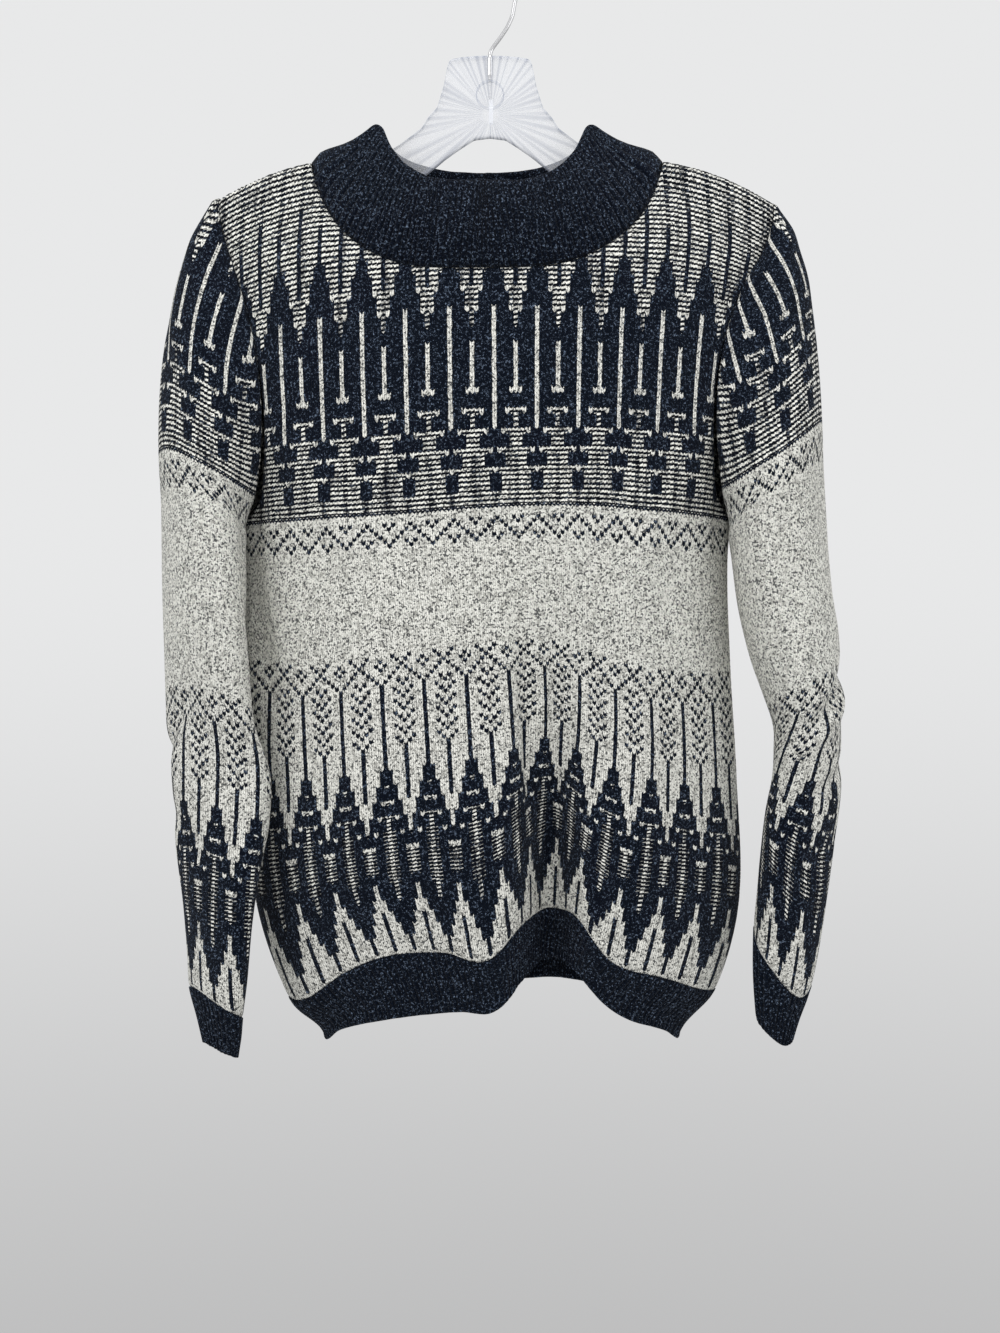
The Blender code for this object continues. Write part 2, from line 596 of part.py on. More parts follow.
def hanger_section(x, top, bottom, half):
    """A flat upright section of the hanger with eased edges."""
    ease = min(half * 0.7, (top - bottom) * 0.3)
    return [Vector((x, y, z)) for y, z in (
        (-half, bottom + ease), (-half, top - ease), (-half + ease, top),
        (half - ease, top), (half, top - ease), (half, bottom + ease),
        (half - ease, bottom), (-half + ease, bottom))]


def build_hanger(material):
    """Plate, arch and two arms in one moulding, section by section from arm to arm."""
    half = []
    for x, top, bottom in HANGER_OUTLINE:
        grow = fade(-x, -0.045, -0.110)
        half.append((x, top, bottom, PLATE_HALF_THICKNESS
                     + (ARM_HALF_THICKNESS - PLATE_HALF_THICKNESS) * grow))
    for x, below, depth in ARM_OUTLINE:
        top = shoulder_line(x) - below
        half.append((x, top, top - depth, ARM_HALF_THICKNESS))
    rings = []
    for x, top, bottom, thickness in reversed(half[1:]):
        shift = shoulder_line(-x) - shoulder_line(x) if x > NECK_HALF_WIDTH else 0.0
        rings.append(hanger_section(-x, top + shift, bottom + shift, thickness))
    rings += [hanger_section(*station) for station in half]
    mesh = bmesh.new()
    skin(mesh, rings)
    return add_object("hanger", mesh, material)


def hook_path():
    """Middle line of the wire from the plate up and over the rail."""
    stem = [Vector((0.0, 0.0, HANGER_TOP + SEAM_GAP + 0.0004)), Vector((0.0, 0.0, -0.0725)),
            Vector((0.0030, 0.0, -0.0690)), Vector((0.0085, 0.0, -0.0620)),
            Vector((0.0135, 0.0, -0.0540)), Vector((0.0178, 0.0, -0.0450))]
    radius = HOOK_INSIDE_RADIUS + WIRE_RADIUS
    middle = Vector((0.0, 0.0, -HOOK_INSIDE_RADIUS))
    bend = [middle + Vector((math.cos(math.radians(t)), 0.0, math.sin(math.radians(t))))
            * radius for t in range(-40, 206, 15)]
    return stem + bend


def build_hook(material):
    path = hook_path()
    rings = []
    for k, point in enumerate(path):
        ahead = path[min(k + 1, len(path) - 1)] - path[max(k - 1, 0)]
        ahead.normalize()
        side = Vector((0.0, 1.0, 0.0))
        up = ahead.cross(side)
        rings.append([point + (side * math.cos(math.pi * n / 4) + up * math.sin(math.pi * n / 4))
                      * WIRE_RADIUS for n in range(8)])
    mesh = bmesh.new()
    skin(mesh, rings)
    return add_object("hook", mesh, material)


# ---------------------------------------------------------------- the whole jumper
def build_jumper():
    knit = plain_material("two colour knitting", (0.055, 0.070, 0.120), 0.9)
    rib = plain_material("navy ribbing", (0.030, 0.040, 0.075), 0.9)
    pieces = [
        # name, grid, thickness, outward, ring, material
        ("front", panel_grid("front"), WALL, -1.0, False, knit),
        ("back", panel_grid("back"), WALL, 1.0, False, knit),
        ("sleeve_left", sleeve_grid("left"), WALL, -1.0, False, knit),
        ("sleeve_right", sleeve_grid("right"), WALL, 1.0, False, knit),
        ("collar", collar_grid(), COLLAR_WALL, 1.0, True, rib),
        ("hem_front", hem_grid("front"), RIB_WALL, -1.0, False, rib),
        ("hem_back", hem_grid("back"), RIB_WALL, 1.0, False, rib),
        ("cuff_left", cuff_grid("left"), RIB_WALL, -1.0, False, rib),
        ("cuff_right", cuff_grid("right"), RIB_WALL, 1.0, False, rib),
    ]
    seam_normals = {}
    for _name, grid, _thickness, outward, _ring, _material in pieces:
        for line, facings in zip(grid, grid_normals(grid, outward)):
            for point, facing in zip(line, facings):
                key = seam_key(point)
                seam_normals[key] = seam_normals.get(key, Vector()) + facing.normalized()
    for side in ("left", "right"):
        for one, two, share in sleeve_top(side):
            facing = seam_normals[seam_key(one)].normalized().lerp(
                seam_normals[seam_key(two)].normalized(), share)
            seam_normals[seam_key(one.lerp(two, share))] = facing
        # at the underarm the cloth turns up between body and sleeve, so it faces down
        seam_normals[seam_key(armhole_corner(side, "front", -1))] = Vector((0, 0, -1))
    for name, grid, thickness, outward, ring, material in pieces:
        knitted_wall(name, grid, thickness, outward, seam_normals, ring, material)


build_jumper()
build_hanger(plain_material("clear plastic", (0.80, 0.84, 0.86), 0.15))
build_hook(plain_material("bright steel wire", (0.70, 0.70, 0.72), 0.25, 1.0))
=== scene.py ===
# %% [markdown]
# # A fair isle jumper on a clear hanger
# The jumper is knitted here stitch by stitch.  A drape map takes a stitch's place in a
# flat panel (its column and its row) to its place on the hanging cloth, and a chart of
# ten stitches says which yarn each stitch shows.
# %%
import math
from collections import Counter

import bmesh
import bpy
import numpy as np
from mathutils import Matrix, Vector


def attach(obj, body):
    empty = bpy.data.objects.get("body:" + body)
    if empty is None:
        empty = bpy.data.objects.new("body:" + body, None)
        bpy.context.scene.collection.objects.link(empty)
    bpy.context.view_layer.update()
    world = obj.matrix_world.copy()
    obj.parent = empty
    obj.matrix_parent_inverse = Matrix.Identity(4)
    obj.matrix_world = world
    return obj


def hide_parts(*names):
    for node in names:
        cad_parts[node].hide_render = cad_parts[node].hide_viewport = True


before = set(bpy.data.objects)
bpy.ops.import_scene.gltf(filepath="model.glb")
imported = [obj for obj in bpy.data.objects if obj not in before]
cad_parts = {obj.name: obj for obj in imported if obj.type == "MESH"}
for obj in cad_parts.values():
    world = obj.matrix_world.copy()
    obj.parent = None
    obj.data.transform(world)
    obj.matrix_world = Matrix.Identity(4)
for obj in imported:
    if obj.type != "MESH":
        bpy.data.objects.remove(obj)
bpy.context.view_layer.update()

# %% [markdown]
# ## Driving sizes
# The same sizes as the pattern that the solids were cut from: the widths in stitch
# columns, the heights in metres below the rail.
# %%
WALL = 0.0028              # thickness of the two-colour knitting
COLLAR_WALL = 0.0048
STITCH = 0.0031            # width of one stitch
HALF_COLUMNS = 70.0
NECK_COLUMNS = 42.0
NECK_SHIFT = -2.0
SHOULDER_TOP = -0.157
UNDERARM = -0.440
HEM_SEAM = -0.757
HEM_DEPTH = 0.045
BACK_HEM_RISE = 0.008
NECK_HALF_WIDTH = 0.131
FRONT_NECK_DROP = 0.097
BACK_NECK_DROP = 0.040
SHOULDER_ROLL = 0.012
CUFF_ROW = 0.565
CUFF_DEPTH = 0.046
HOOK_INSIDE_RADIUS = 0.0210
WIRE_RADIUS = 0.0016

# %% [markdown]
# ## How the body hangs
# The body's shape could come from a cloth simulation, but a hung jumper's folds are
# steadier as plan sections down its height, with folds and sagging rows laid over them.
# A section gives the widths left and right of the origin, how far front and back stand
# out, and where the middle stitch column runs.
# %%
BODY_SECTIONS = [
    # height, left,   right,  front,  back,   middle
    (-0.157, 0.215, 0.225, 0.036, 0.036, 0.003),
    (-0.21, 0.213, 0.222, 0.052, 0.038, 0.003),
    (-0.256, 0.208, 0.212, 0.062, 0.044, 0.003),
    (-0.32, 0.202, 0.2, 0.07, 0.048, 0.0035),
    (-0.4, 0.193, 0.19, 0.076, 0.05, 0.0045),
    (-0.455, 0.1895, 0.183, 0.08, 0.05, 0.007),
    (-0.52, 0.191, 0.185, 0.084, 0.05, 0.012),
    (-0.6, 0.188, 0.19, 0.087, 0.05, 0.017),
    (-0.69, 0.181, 0.192, 0.088, 0.05, 0.021),
    (-0.757, 0.155, 0.1735, 0.082, 0.045, 0.024),
    (-0.802, 0.127, 0.145, 0.076, 0.039, 0.025),
]

# Folds that run down the body: which panel, where, from what height they start, how
# deep they are at the hem, how wide, and how far they lift the hem.
BODY_FOLDS = [
    # panel, middle x, start, hem depth, half width, lift
    ("front", 0.044, -0.48, 0.043, 0.019, 0.026),
    ("front", -0.052, -0.56, 0.006, 0.02, -0.004),
    ("front", 0.098, -0.6, 0.005, 0.016, -0.004),
    ("back", -0.062, -0.43, 0.022, 0.024, 0.009),
    ("back", 0.071, -0.5, 0.019, 0.021, 0.007),
]

# How far the knitted rows of the front hang below the middle, in millimetres, at
# thirteen places from the left side seam (-1) to the right one (1).
SAG_PLACES = (-1.0, -0.88, -0.70, -0.50, -0.32, -0.18, -0.04, 0.18, 0.38, 0.52, 0.75, 0.90, 1.0)
ROW_SAG = [
    # height, then one value at each of the places above
    (-0.157, 0, 0, 0, 0, 0, 0, 0, 0, 0, 0, 0, 0, 0),
    (-0.3, 13, 12, 9, 5, 3, 1, 0, 0, 0, 0, 1, 2, 2),
    (-0.43, 9, 9, 9, 8, 6, 4, 2, 0, 0, 2, 4, 5, 6),
    (-0.532, 12, 15, 19, 14, 8, 5, 2, 2, 12, 19, 24, 24, 24),
    (-0.665, 28, 27, 20, 12, 5, 4, -1, -1, 4, 13, 24, 30, 34),
    (-0.757, 43, 39, 14, -4, -6, 3, -7, -4, -12, 3, 21, 33, 37),
    (-0.802, 31, 18, 6, -4, -6, -3, -9, -10, -15, -12, 8, 20, 30),
]
print("body sections", len(BODY_SECTIONS), "folds", len(BODY_FOLDS))

# %% [markdown]
# ## How the sleeves hang
# The armhole says how many stitch columns from the middle a panel's edge is at each row,
# and which row of the sleeve is linked there, counted down its top line.  A sleeve could
# be a tube along a curve; ovals that turn as they go down show its flat, twisted hang.
#
# An oval is its middle, half its width and thickness, and how far its wide face is
# turned from the front.  Angles round it start at its outer end and go over its front:
# where the top line and the two seams lie.  Then the height of the top line and how much
# lower the inside of the row hangs.  Rows above the underarm are open.
# %%
ARMHOLE = [
    # row,    panel, sleeve row
    (-0.157, 66.5, -0.024),
    (-0.162, 66.4, -0.02),
    (-0.175, 65.8, -0.012),
    (-0.205, 63.5, 0.002),
    (-0.24, 60.5, 0.02),
    (-0.28, 57.5, 0.045),
    (-0.31, 56.2, 0.068),
    (-0.345, 56.0, 0.098),
    (-0.38, 57.5, 0.132),
    (-0.415, 61.5, 0.164),
    (-0.44, 70.0, 0.19),
]

SLEEVES = {
    "left": [
        # row,    x,       y,       wide,   thick,  turn, line, front, back, top,  drop
        (-0.024, -0.208, 0.0, 0.011, 0.006, 90.0, 100.0, 200.0, -20.0, -0.19, 0.0),
        (0.0, -0.212, 0.0, 0.025, 0.017, 90.0, 112.0, 205.0, -25.0, -0.217, 0.01),
        (0.02, -0.212, 0.0, 0.033, 0.024, 90.0, 116.0, 205.0, -25.0, -0.238, 0.022),
        (0.045, -0.211, -0.001, 0.04, 0.032, 90.0, 118.0, 205.0, -25.0, -0.265, 0.03),
        (0.07, -0.211, -0.002, 0.045, 0.038, 88.0, 120.0, 210.0, -30.0, -0.292, 0.034),
        (0.1, -0.212, -0.004, 0.05, 0.04, 86.0, 122.0, 216.0, -36.0, -0.324, 0.036),
        (0.132, -0.214, -0.008, 0.055, 0.039, 82.0, 120.0, 226.0, -48.0, -0.358, 0.034),
        (0.164, -0.215, -0.012, 0.059, 0.037, 78.0, 118.0, 244.0, -66.0, -0.391, 0.032),
        (0.19, -0.2155, -0.017, 0.06, 0.033, 72.0, 116.0, 268.0, -92.0, -0.417, 0.036),
        (0.25, -0.215, -0.0285, 0.056, 0.029, 65.0, 110.0, 274.0, -86.0, -0.476, 0.026),
        (0.3, -0.212, -0.0365, 0.051, 0.0265, 57.0, 104.0, 268.0, -92.0, -0.526, 0.022),
        (0.35, -0.208, -0.0425, 0.046, 0.023, 44.0, 88.0, 260.0, -100.0, -0.575, 0.02),
        (0.385, -0.2, -0.048, 0.0415, 0.0205, 22.0, 62.0, 238.0, -122.0, -0.608, 0.02),
        (0.42, -0.1985, -0.05, 0.04, 0.019, 22.0, 56.0, 236.0, -124.0, -0.643, 0.018),
        (0.46, -0.201, -0.05, 0.038, 0.0175, 32.0, 60.0, 240.0, -120.0, -0.682, 0.016),
        (0.5, -0.2015, -0.049, 0.0355, 0.0165, 42.0, 62.0, 242.0, -118.0, -0.721, 0.014),
        (0.54, -0.202, -0.048, 0.033, 0.0155, 48.0, 66.0, 246.0, -114.0, -0.76, 0.02),
        (0.565, -0.203, -0.047, 0.03, 0.0145, 50.0, 70.0, 250.0, -110.0, -0.784, 0.022),
        (0.588, -0.201, -0.0465, 0.0245, 0.012, 50.0, 72.0, 252.0, -108.0, -0.806, 0.016),
        (0.611, -0.1995, -0.046, 0.019, 0.0095, 50.0, 74.0, 254.0, -106.0, -0.826, 0.01),
    ],
    "right": [
        (-0.024, 0.216, 0.0, 0.011, 0.006, 90.0, 100.0, 200.0, -20.0, -0.195, 0.0),
        (0.0, 0.218, 0.0, 0.025, 0.015, 90.0, 106.0, 205.0, -25.0, -0.212, 0.014),
        (0.02, 0.216, 0.0, 0.033, 0.022, 90.0, 104.0, 205.0, -25.0, -0.228, 0.032),
        (0.045, 0.212, -0.001, 0.04, 0.032, 90.0, 102.0, 205.0, -25.0, -0.249, 0.044),
        (0.07, 0.209, -0.002, 0.045, 0.038, 88.0, 100.0, 210.0, -30.0, -0.272, 0.05),
        (0.1, 0.209, -0.004, 0.05, 0.041, 86.0, 98.0, 216.0, -36.0, -0.301, 0.056),
        (0.132, 0.211, -0.008, 0.055, 0.041, 82.0, 96.0, 226.0, -48.0, -0.334, 0.056),
        (0.164, 0.214, -0.012, 0.059, 0.039, 78.0, 92.0, 244.0, -66.0, -0.368, 0.054),
        (0.19, 0.217, -0.015, 0.06, 0.036, 74.0, 90.0, 268.0, -92.0, -0.395, 0.06),
        (0.25, 0.223, -0.019, 0.057, 0.033, 72.0, 84.0, 264.0, -96.0, -0.456, 0.05),
        (0.29, 0.229, -0.023, 0.053, 0.031, 72.0, 82.0, 262.0, -98.0, -0.497, 0.044),
        (0.325, 0.235, -0.027, 0.048, 0.028, 74.0, 84.0, 264.0, -96.0, -0.533, 0.036),
        (0.355, 0.238, -0.03, 0.044, 0.025, 78.0, 90.0, 270.0, -90.0, -0.564, 0.026),
        (0.39, 0.2385, -0.031, 0.04, 0.0245, 70.0, 92.0, 272.0, -88.0, -0.6, 0.01),
        (0.43, 0.238, -0.031, 0.036, 0.0235, 58.0, 92.0, 272.0, -88.0, -0.641, -0.014),
        (0.47, 0.233, -0.031, 0.033, 0.022, 46.0, 90.0, 270.0, -90.0, -0.683, -0.032),
        (0.51, 0.228, -0.032, 0.031, 0.02, 42.0, 86.0, 266.0, -94.0, -0.729, -0.05),
        (0.54, 0.224, -0.032, 0.03, 0.018, 42.0, 84.0, 264.0, -96.0, -0.766, -0.06),
        (0.565, 0.22, -0.032, 0.0285, 0.016, 42.0, 82.0, 262.0, -98.0, -0.793, -0.062),
        (0.588, 0.216, -0.032, 0.0235, 0.013, 42.0, 80.0, 260.0, -100.0, -0.812, -0.044),
        (0.611, 0.214, -0.0315, 0.0175, 0.01, 42.0, 80.0, 260.0, -100.0, -0.83, -0.026),
    ],
}
print("sleeve ovals", {side: len(rows) for side, rows in SLEEVES.items()})

# %% [markdown]
# ## Curves through the tables
# Straight lines between a table's rows would crease the cloth, so a smooth curve goes
# through them and stays level past both ends.
# %%
def smooth_table(place, places, values):
    """A smooth curve through a table's values, level beyond its two ends."""
    if place <= places[0]:
        return values[0]
    if place >= places[-1]:
        return values[-1]
    i = max(k for k in range(len(places) - 1) if places[k] <= place)
    span = places[i + 1] - places[i]
    t = (place - places[i]) / span

    def slope(k):
        if k == 0 or k == len(places) - 1:
            return 0.0
        return (values[k + 1] - values[k - 1]) / (places[k + 1] - places[k - 1])

    ta, tb = slope(i) * span, slope(i + 1) * span
    return ((2 * t ** 3 - 3 * t ** 2 + 1) * values[i] + (t ** 3 - 2 * t ** 2 + t) * ta
            + (-2 * t ** 3 + 3 * t ** 2) * values[i + 1] + (t ** 3 - t ** 2) * tb)


def table_at(table, place, sign=1.0):
    """Every other column of a table at one place of its first column."""
    places = [sign * row[0] for row in table]
    return [smooth_table(sign * place, places, [row[k] for row in table])
            for k in range(1, len(table[0]))]


def fade(value, start, end):
    """0 above start, 1 below end, smooth between them."""
    t = min(1.0, max(0.0, (start - value) / (start - end)))
    return t * t * (3 - 2 * t)


def shoulder_line(x):
    """Height of the shoulder's ridge at a distance x from the middle."""
    out = max(0.0, abs(x) - NECK_HALF_WIDTH)
    return SHOULDER_TOP - (0.15 if x < 0 else 0.12) * out - 3.0 * out * out


print("shoulder drops", round(SHOULDER_TOP - shoulder_line(0.2), 4), "m at 0.2 m out")

# %% [markdown]
# ## The body's drape
# These take a stitch column and a row to a point on the outside of the front or back.
# Columns run evenly along each section, so stitches keep their width round the sides.
# %%
_sections = {}
SECTION_POINTS = 241
ROLL_DEPTH = 0.09          # how far below the ridge the shoulder's roll has let go


def body_section(panel, row):
    """Plan curve of one row: x and y along it, and the stitch column of each place."""
    key = (panel, round(row, 6))
    if key not in _sections:
        left, right, front, back, middle = table_at(BODY_SECTIONS, row, -1.0)
        side = -1.0 if panel == "front" else 1.0
        depth = front if panel == "front" else back
        turn = np.linspace(-math.pi / 2, math.pi / 2, SECTION_POINTS)
        across = np.sin(turn)
        x = np.where(across < 0, across * left, across * right)
        rounded = side * depth * np.cos(turn) ** 1.2
        y = rounded
        for name, fold_x, start, fold_depth, half_width, _lift in BODY_FOLDS:
            if name == panel:
                reach = fold_depth * fade(row, start, HEM_SEAM)
                folded = np.exp(-((x - fold_x) / half_width) ** 2) * (1.0 - across ** 8)
                y = y - side * reach * folded
        # below the underarm the columns stretch apart round the sides
        stretch = 0.5 * fade(row, UNDERARM, UNDERARM - 0.11)
        steps = np.hypot(np.diff(x), np.diff(y - stretch * rounded))
        along = np.concatenate([[0.0], np.cumsum(steps)])
        at_middle = np.interp(middle, x, along)
        columns = np.where(along < at_middle, (along - at_middle) / at_middle,
                           (along - at_middle) / (along[-1] - at_middle))
        _sections[key] = (x, y, columns * HALF_COLUMNS)
    return _sections[key]


def body_point(panel, column, row):
    """The outside of a body panel at a stitch column and a row.

    A row is named by the height it has at the middle of the front."""
    x_line, y_line, columns = body_section(panel, row)
    x = float(np.interp(column, columns, x_line))
    y = float(np.interp(column, columns, y_line))
    height = row + (shoulder_line(x) - SHOULDER_TOP) * (1.0 - fade(row, SHOULDER_TOP, -0.32))
    sags = table_at(ROW_SAG, row, -1.0)
    place = column / HALF_COLUMNS
    if panel == "front":
        height -= smooth_table(place, SAG_PLACES, sags) / 1000.0
    else:
        edge = (sags[0] if place < 0 else sags[-1]) / 1000.0
        rise = BACK_HEM_RISE * fade(row, -0.430, HEM_SEAM)
        height += rise - (edge + rise) * abs(place) ** 2.5
    for name, fold_x, start, _depth, half_width, lift in BODY_FOLDS:
        if name == panel:
            lifted = math.exp(-((x - fold_x) / (1.35 * half_width)) ** 2)
            height += lift * fade(row, start, HEM_SEAM) * lifted * (1.0 - place ** 8)
    below = max(0.0, shoulder_line(x) - height)
    if below < ROLL_DEPTH:
        rolled = SHOULDER_ROLL
        if below < SHOULDER_ROLL:
            rolled *= math.sqrt(1.0 - (1.0 - below / SHOULDER_ROLL) ** 2)
        rolled = min(rolled, abs(y) + 0.002)
        let_go = fade(-below, 0.0, -ROLL_DEPTH)
        y = math.copysign(rolled + max(0.0, abs(y) - rolled) * let_go, y)
    return Vector((x, y, height))


def neckline(panel, column):
    """The row at which a panel ends at its top, for one stitch column."""
    place = min(1.0, abs(column - NECK_SHIFT) / NECK_COLUMNS)
    drop = FRONT_NECK_DROP if panel == "front" else BACK_NECK_DROP
    return SHOULDER_TOP - drop * (1.0 - place ** 3.2) ** 0.75


def panel_edge(row):
    """How many stitch columns from the middle a panel ends at its side, at one row."""
    return table_at(ARMHOLE, row, -1.0)[0]


print("side seam at the underarm", [round(v, 4) for v in
                                    body_point("front", HALF_COLUMNS, UNDERARM)])

# %% [markdown]
# ## The sleeves' drape
# A sleeve hangs free below the underarm.  Above it, its edges are drawn to the armhole,
# so that sleeve and body meet without a gap.
# %%
def armhole(sleeve_row):
    """The panels' row and stitch column linked to one row of a sleeve's edge."""
    rows = [line[2] for line in ARMHOLE]
    return (smooth_table(sleeve_row, rows, [line[0] for line in ARMHOLE]),
            smooth_table(sleeve_row, rows, [line[1] for line in ARMHOLE]))


def sleeve_oval(side, around, row):
    """A point of a sleeve's oval: around it from -1 at its seam behind, through 0 at
    the top line, to 1 at its seam in front."""
    x, y, wide, thick, turn, line, front, back, top, drop = table_at(SLEEVES[side], row)
    out = -1.0 if side == "left" else 1.0
    end = front if around >= 0 else back
    angles = np.radians(np.linspace(line, end, 61))
    lean = math.radians(turn)
    px = x + out * (np.cos(angles) * wide * math.cos(lean)
                    + np.sin(angles) * thick * math.sin(lean))
    py = y + np.cos(angles) * wide * math.sin(lean) - np.sin(angles) * thick * math.cos(lean)
    along = np.concatenate([[0.0], np.cumsum(np.hypot(np.diff(px), np.diff(py)))])
    place = abs(around) * along[-1]
    height = top - drop * (1.0 - math.cos(math.pi * around)) / 2.0
    return Vector((np.interp(place, along, px), np.interp(place, along, py), height))


def sleeve_point(side, around, row):
    """The outside of a sleeve, its edges drawn to the armhole they are linked to."""
    point = sleeve_oval(side, around, row)
    let_go = fade(-row, -ARMHOLE[-1][2], -ARMHOLE[-1][2] - 0.06)
    if let_go < 1.0:
        held = min(row, ARMHOLE[-1][2])
        panel_row, column = armhole(held)
        panel = "front" if around >= 0 else "back"
        edge = body_point(panel, column if side == "right" else -column, panel_row)
        end = sleeve_oval(side, math.copysign(1.0, around), held)
        point += (edge - end) * abs(around) ** 2.2 * (1.0 - let_go)
    return point


print("sleeve at the cuff", [round(v, 4) for v in sleeve_point("left", 0.0, CUFF_ROW)])

# %% [markdown]
# ## The collar's drape
# The doubled collar rises from the neckline to a fold.  A ring of fold points gives its
# lean all round, which a straight tube would miss: it stands up over the shoulders.
# %%
COLLAR_TOP = [
    # turn round the neck from the middle of the front: x, y and height of the fold
    (0.0, 0.0, -0.06, -0.188),
    (30.0, 0.034, -0.057, -0.186),
    (52.0, 0.055, -0.047, -0.175),
    (68.0, 0.069, -0.034, -0.157),
    (80.0, 0.078, -0.018, -0.136),
    (92.0, 0.083, -0.002, -0.129),
    (105.0, 0.081, 0.014, -0.133),
    (125.0, 0.064, 0.028, -0.146),
    (150.0, 0.035, 0.037, -0.153),
    (180.0, 0.0, 0.04, -0.155),
]
COLLAR_SHIFT = -0.0045     # the collar's top lies a little towards the left shoulder


def collar_base(turn):
    """The neckline all round: turn 0 in front, 90 at the right shoulder, 180 behind."""
    lap = (turn + 180.0) % 360.0 - 180.0
    side = 1.0 if lap >= 0 else -1.0
    place = abs(lap) / 90.0
    if place <= 1.0:
        column = side * place * NECK_COLUMNS + NECK_SHIFT
        return body_point("front", column, neckline("front", column))
    column = side * (2.0 - place) * NECK_COLUMNS + NECK_SHIFT
    return body_point("back", column, neckline("back", column))


def collar_point(turn, rise):
    """The outside of the collar: rise 0 at its seam, 1 at the fold along its top."""
    lap = (turn + 180.0) % 360.0 - 180.0
    x, y, height = table_at(COLLAR_TOP, abs(lap))
    fold = Vector((math.copysign(x, lap) + COLLAR_SHIFT, y, height))
    base = collar_base(turn)
    belly = math.sin(math.pi * rise) * 0.006
    point = base.lerp(fold, rise)
    point.y += math.copysign(belly, y)
    # over the shoulders it stands up from its seam before it leans in
    on_shoulder = math.exp(-((abs(lap) - 90.0) / 24.0) ** 2)
    point.z += 0.0032 * on_shoulder * math.sin(2.0 * math.pi * rise ** 0.65)
    return point

# %% [markdown]
# ## Camera
# The camera stands level with the middle of the jumper and straight in front of it.
# %%
CAMERA_DISTANCE = 1.25
SENSOR = 36.0
VIEW_HEIGHT = 1.0264       # height of what the camera takes in at the hanger
VIEW_MIDDLE = Vector((0.0077, 0.0, -0.5463))


def new_object(name, data):
    """An object in the scene that shows some data."""
    made = bpy.data.objects.new(name, data)
    bpy.context.scene.collection.objects.link(made)
    return made


def make_camera():
    data = bpy.data.cameras.new("camera")
    data.sensor_width = SENSOR
    data.lens = SENSOR * CAMERA_DISTANCE / VIEW_HEIGHT
    camera = new_object("camera", data)
    camera.location = VIEW_MIDDLE + Vector((0.0, -CAMERA_DISTANCE, 0.0))
    camera.rotation_euler = (math.pi / 2, 0.0, 0.0)
    bpy.context.scene.camera = camera


make_camera()
print("lens", round(bpy.context.scene.camera.data.lens, 2), "mm")

# %% [markdown]
# ## Floor, room and lamps
# Large soft lamps from the front left and right give a shop's even light.  A pale room
# that darkens towards its floor stands in for the wall, as a wall would take shadows.
# %%
def new_node(tree, kind, settings, values):
    """A node of a tree from its settings and its sockets' values or links."""
    made = tree.nodes.new("ShaderNode" + kind)
    for key, value in settings.items():
        setattr(made, key, value)
    for key, value in values.items():
        if isinstance(value, bpy.types.NodeSocket):
            tree.links.new(value, made.inputs[key])
        else:
            made.inputs[key].default_value = value
    return made.outputs


def area_lamp(name, place, target, size, power):
    data = bpy.data.lights.new(name, "AREA")
    data.shape = "RECTANGLE"
    data.size, data.size_y = size
    data.energy = power
    lamp = new_object(name, data)
    lamp.location = place
    lamp.rotation_euler = (Vector(target) - Vector(place)).to_track_quat("-Z", "Y").to_euler()


def make_floor(height, half, behind):
    mesh = bpy.data.meshes.new("floor")
    mesh.from_pydata([(-half, -half, height), (half, -half, height), (half, behind, height),
                      (-half, behind, height)], [], [(0, 1, 2, 3)])
    floor = new_object("floor", mesh)
    material = bpy.data.materials.new("pale floor")
    material.use_nodes = True
    shader = material.node_tree.nodes["Principled BSDF"]
    shader.inputs["Base Color"].default_value = (0.62, 0.62, 0.615, 1.0)
    shader.inputs["Roughness"].default_value = 0.8
    mesh.materials.append(material)


def make_world(below, above):
    """An even pale room, a little darker towards its floor."""
    world = bpy.data.worlds.new("pale room")
    world.use_nodes = True
    tree = world.node_tree
    direction = new_node(tree, "TexCoord", {}, {})["Generated"]
    up = new_node(tree, "SeparateXYZ", {}, {0: direction})["Z"]
    share = new_node(tree, "MapRange", {"interpolation_type": "SMOOTHSTEP"},
                     {"Value": up, "From Min": -0.50, "From Max": 0.10})[0]
    colour = new_node(tree, "Mix", {"data_type": "RGBA"},
                      {0: share, 6: (*below, 1.0), 7: (*above, 1.0)})[2]
    tree.links.new(colour, tree.nodes["Background"].inputs["Color"])
    bpy.context.scene.world = world


make_floor(-1.45, 3.0, 0.90)
make_world((0.484, 0.484, 0.486), (0.808, 0.812, 0.816))
area_lamp("window left", (-1.6, -1.8, 0.6), (0, 0, -0.45), (1.4, 1.4), 16.0)
area_lamp("window right", (1.8, -1.5, 0.4), (0, 0, -0.45), (1.4, 1.4), 9.0)
area_lamp("ceiling", (0.0, -0.6, 1.2), (0, 0, -0.4), (1.2, 1.2), 8.0)
bpy.context.scene.view_settings.view_transform = "Standard"
print("lamps", [light.name for light in bpy.data.lights])

# %% [markdown]
# ## Shader expressions
# One small class wraps a socket, so that the shaders below read as sums.
# %%
def operator(kind, turned=False):
    """A method that makes one Math node, its two values turned round if asked."""
    def method(self, other):
        values = (other, self) if turned else (self, other)
        return self.shader.node("Math", {"operation": kind}, dict(enumerate(values)))[0]

    return method


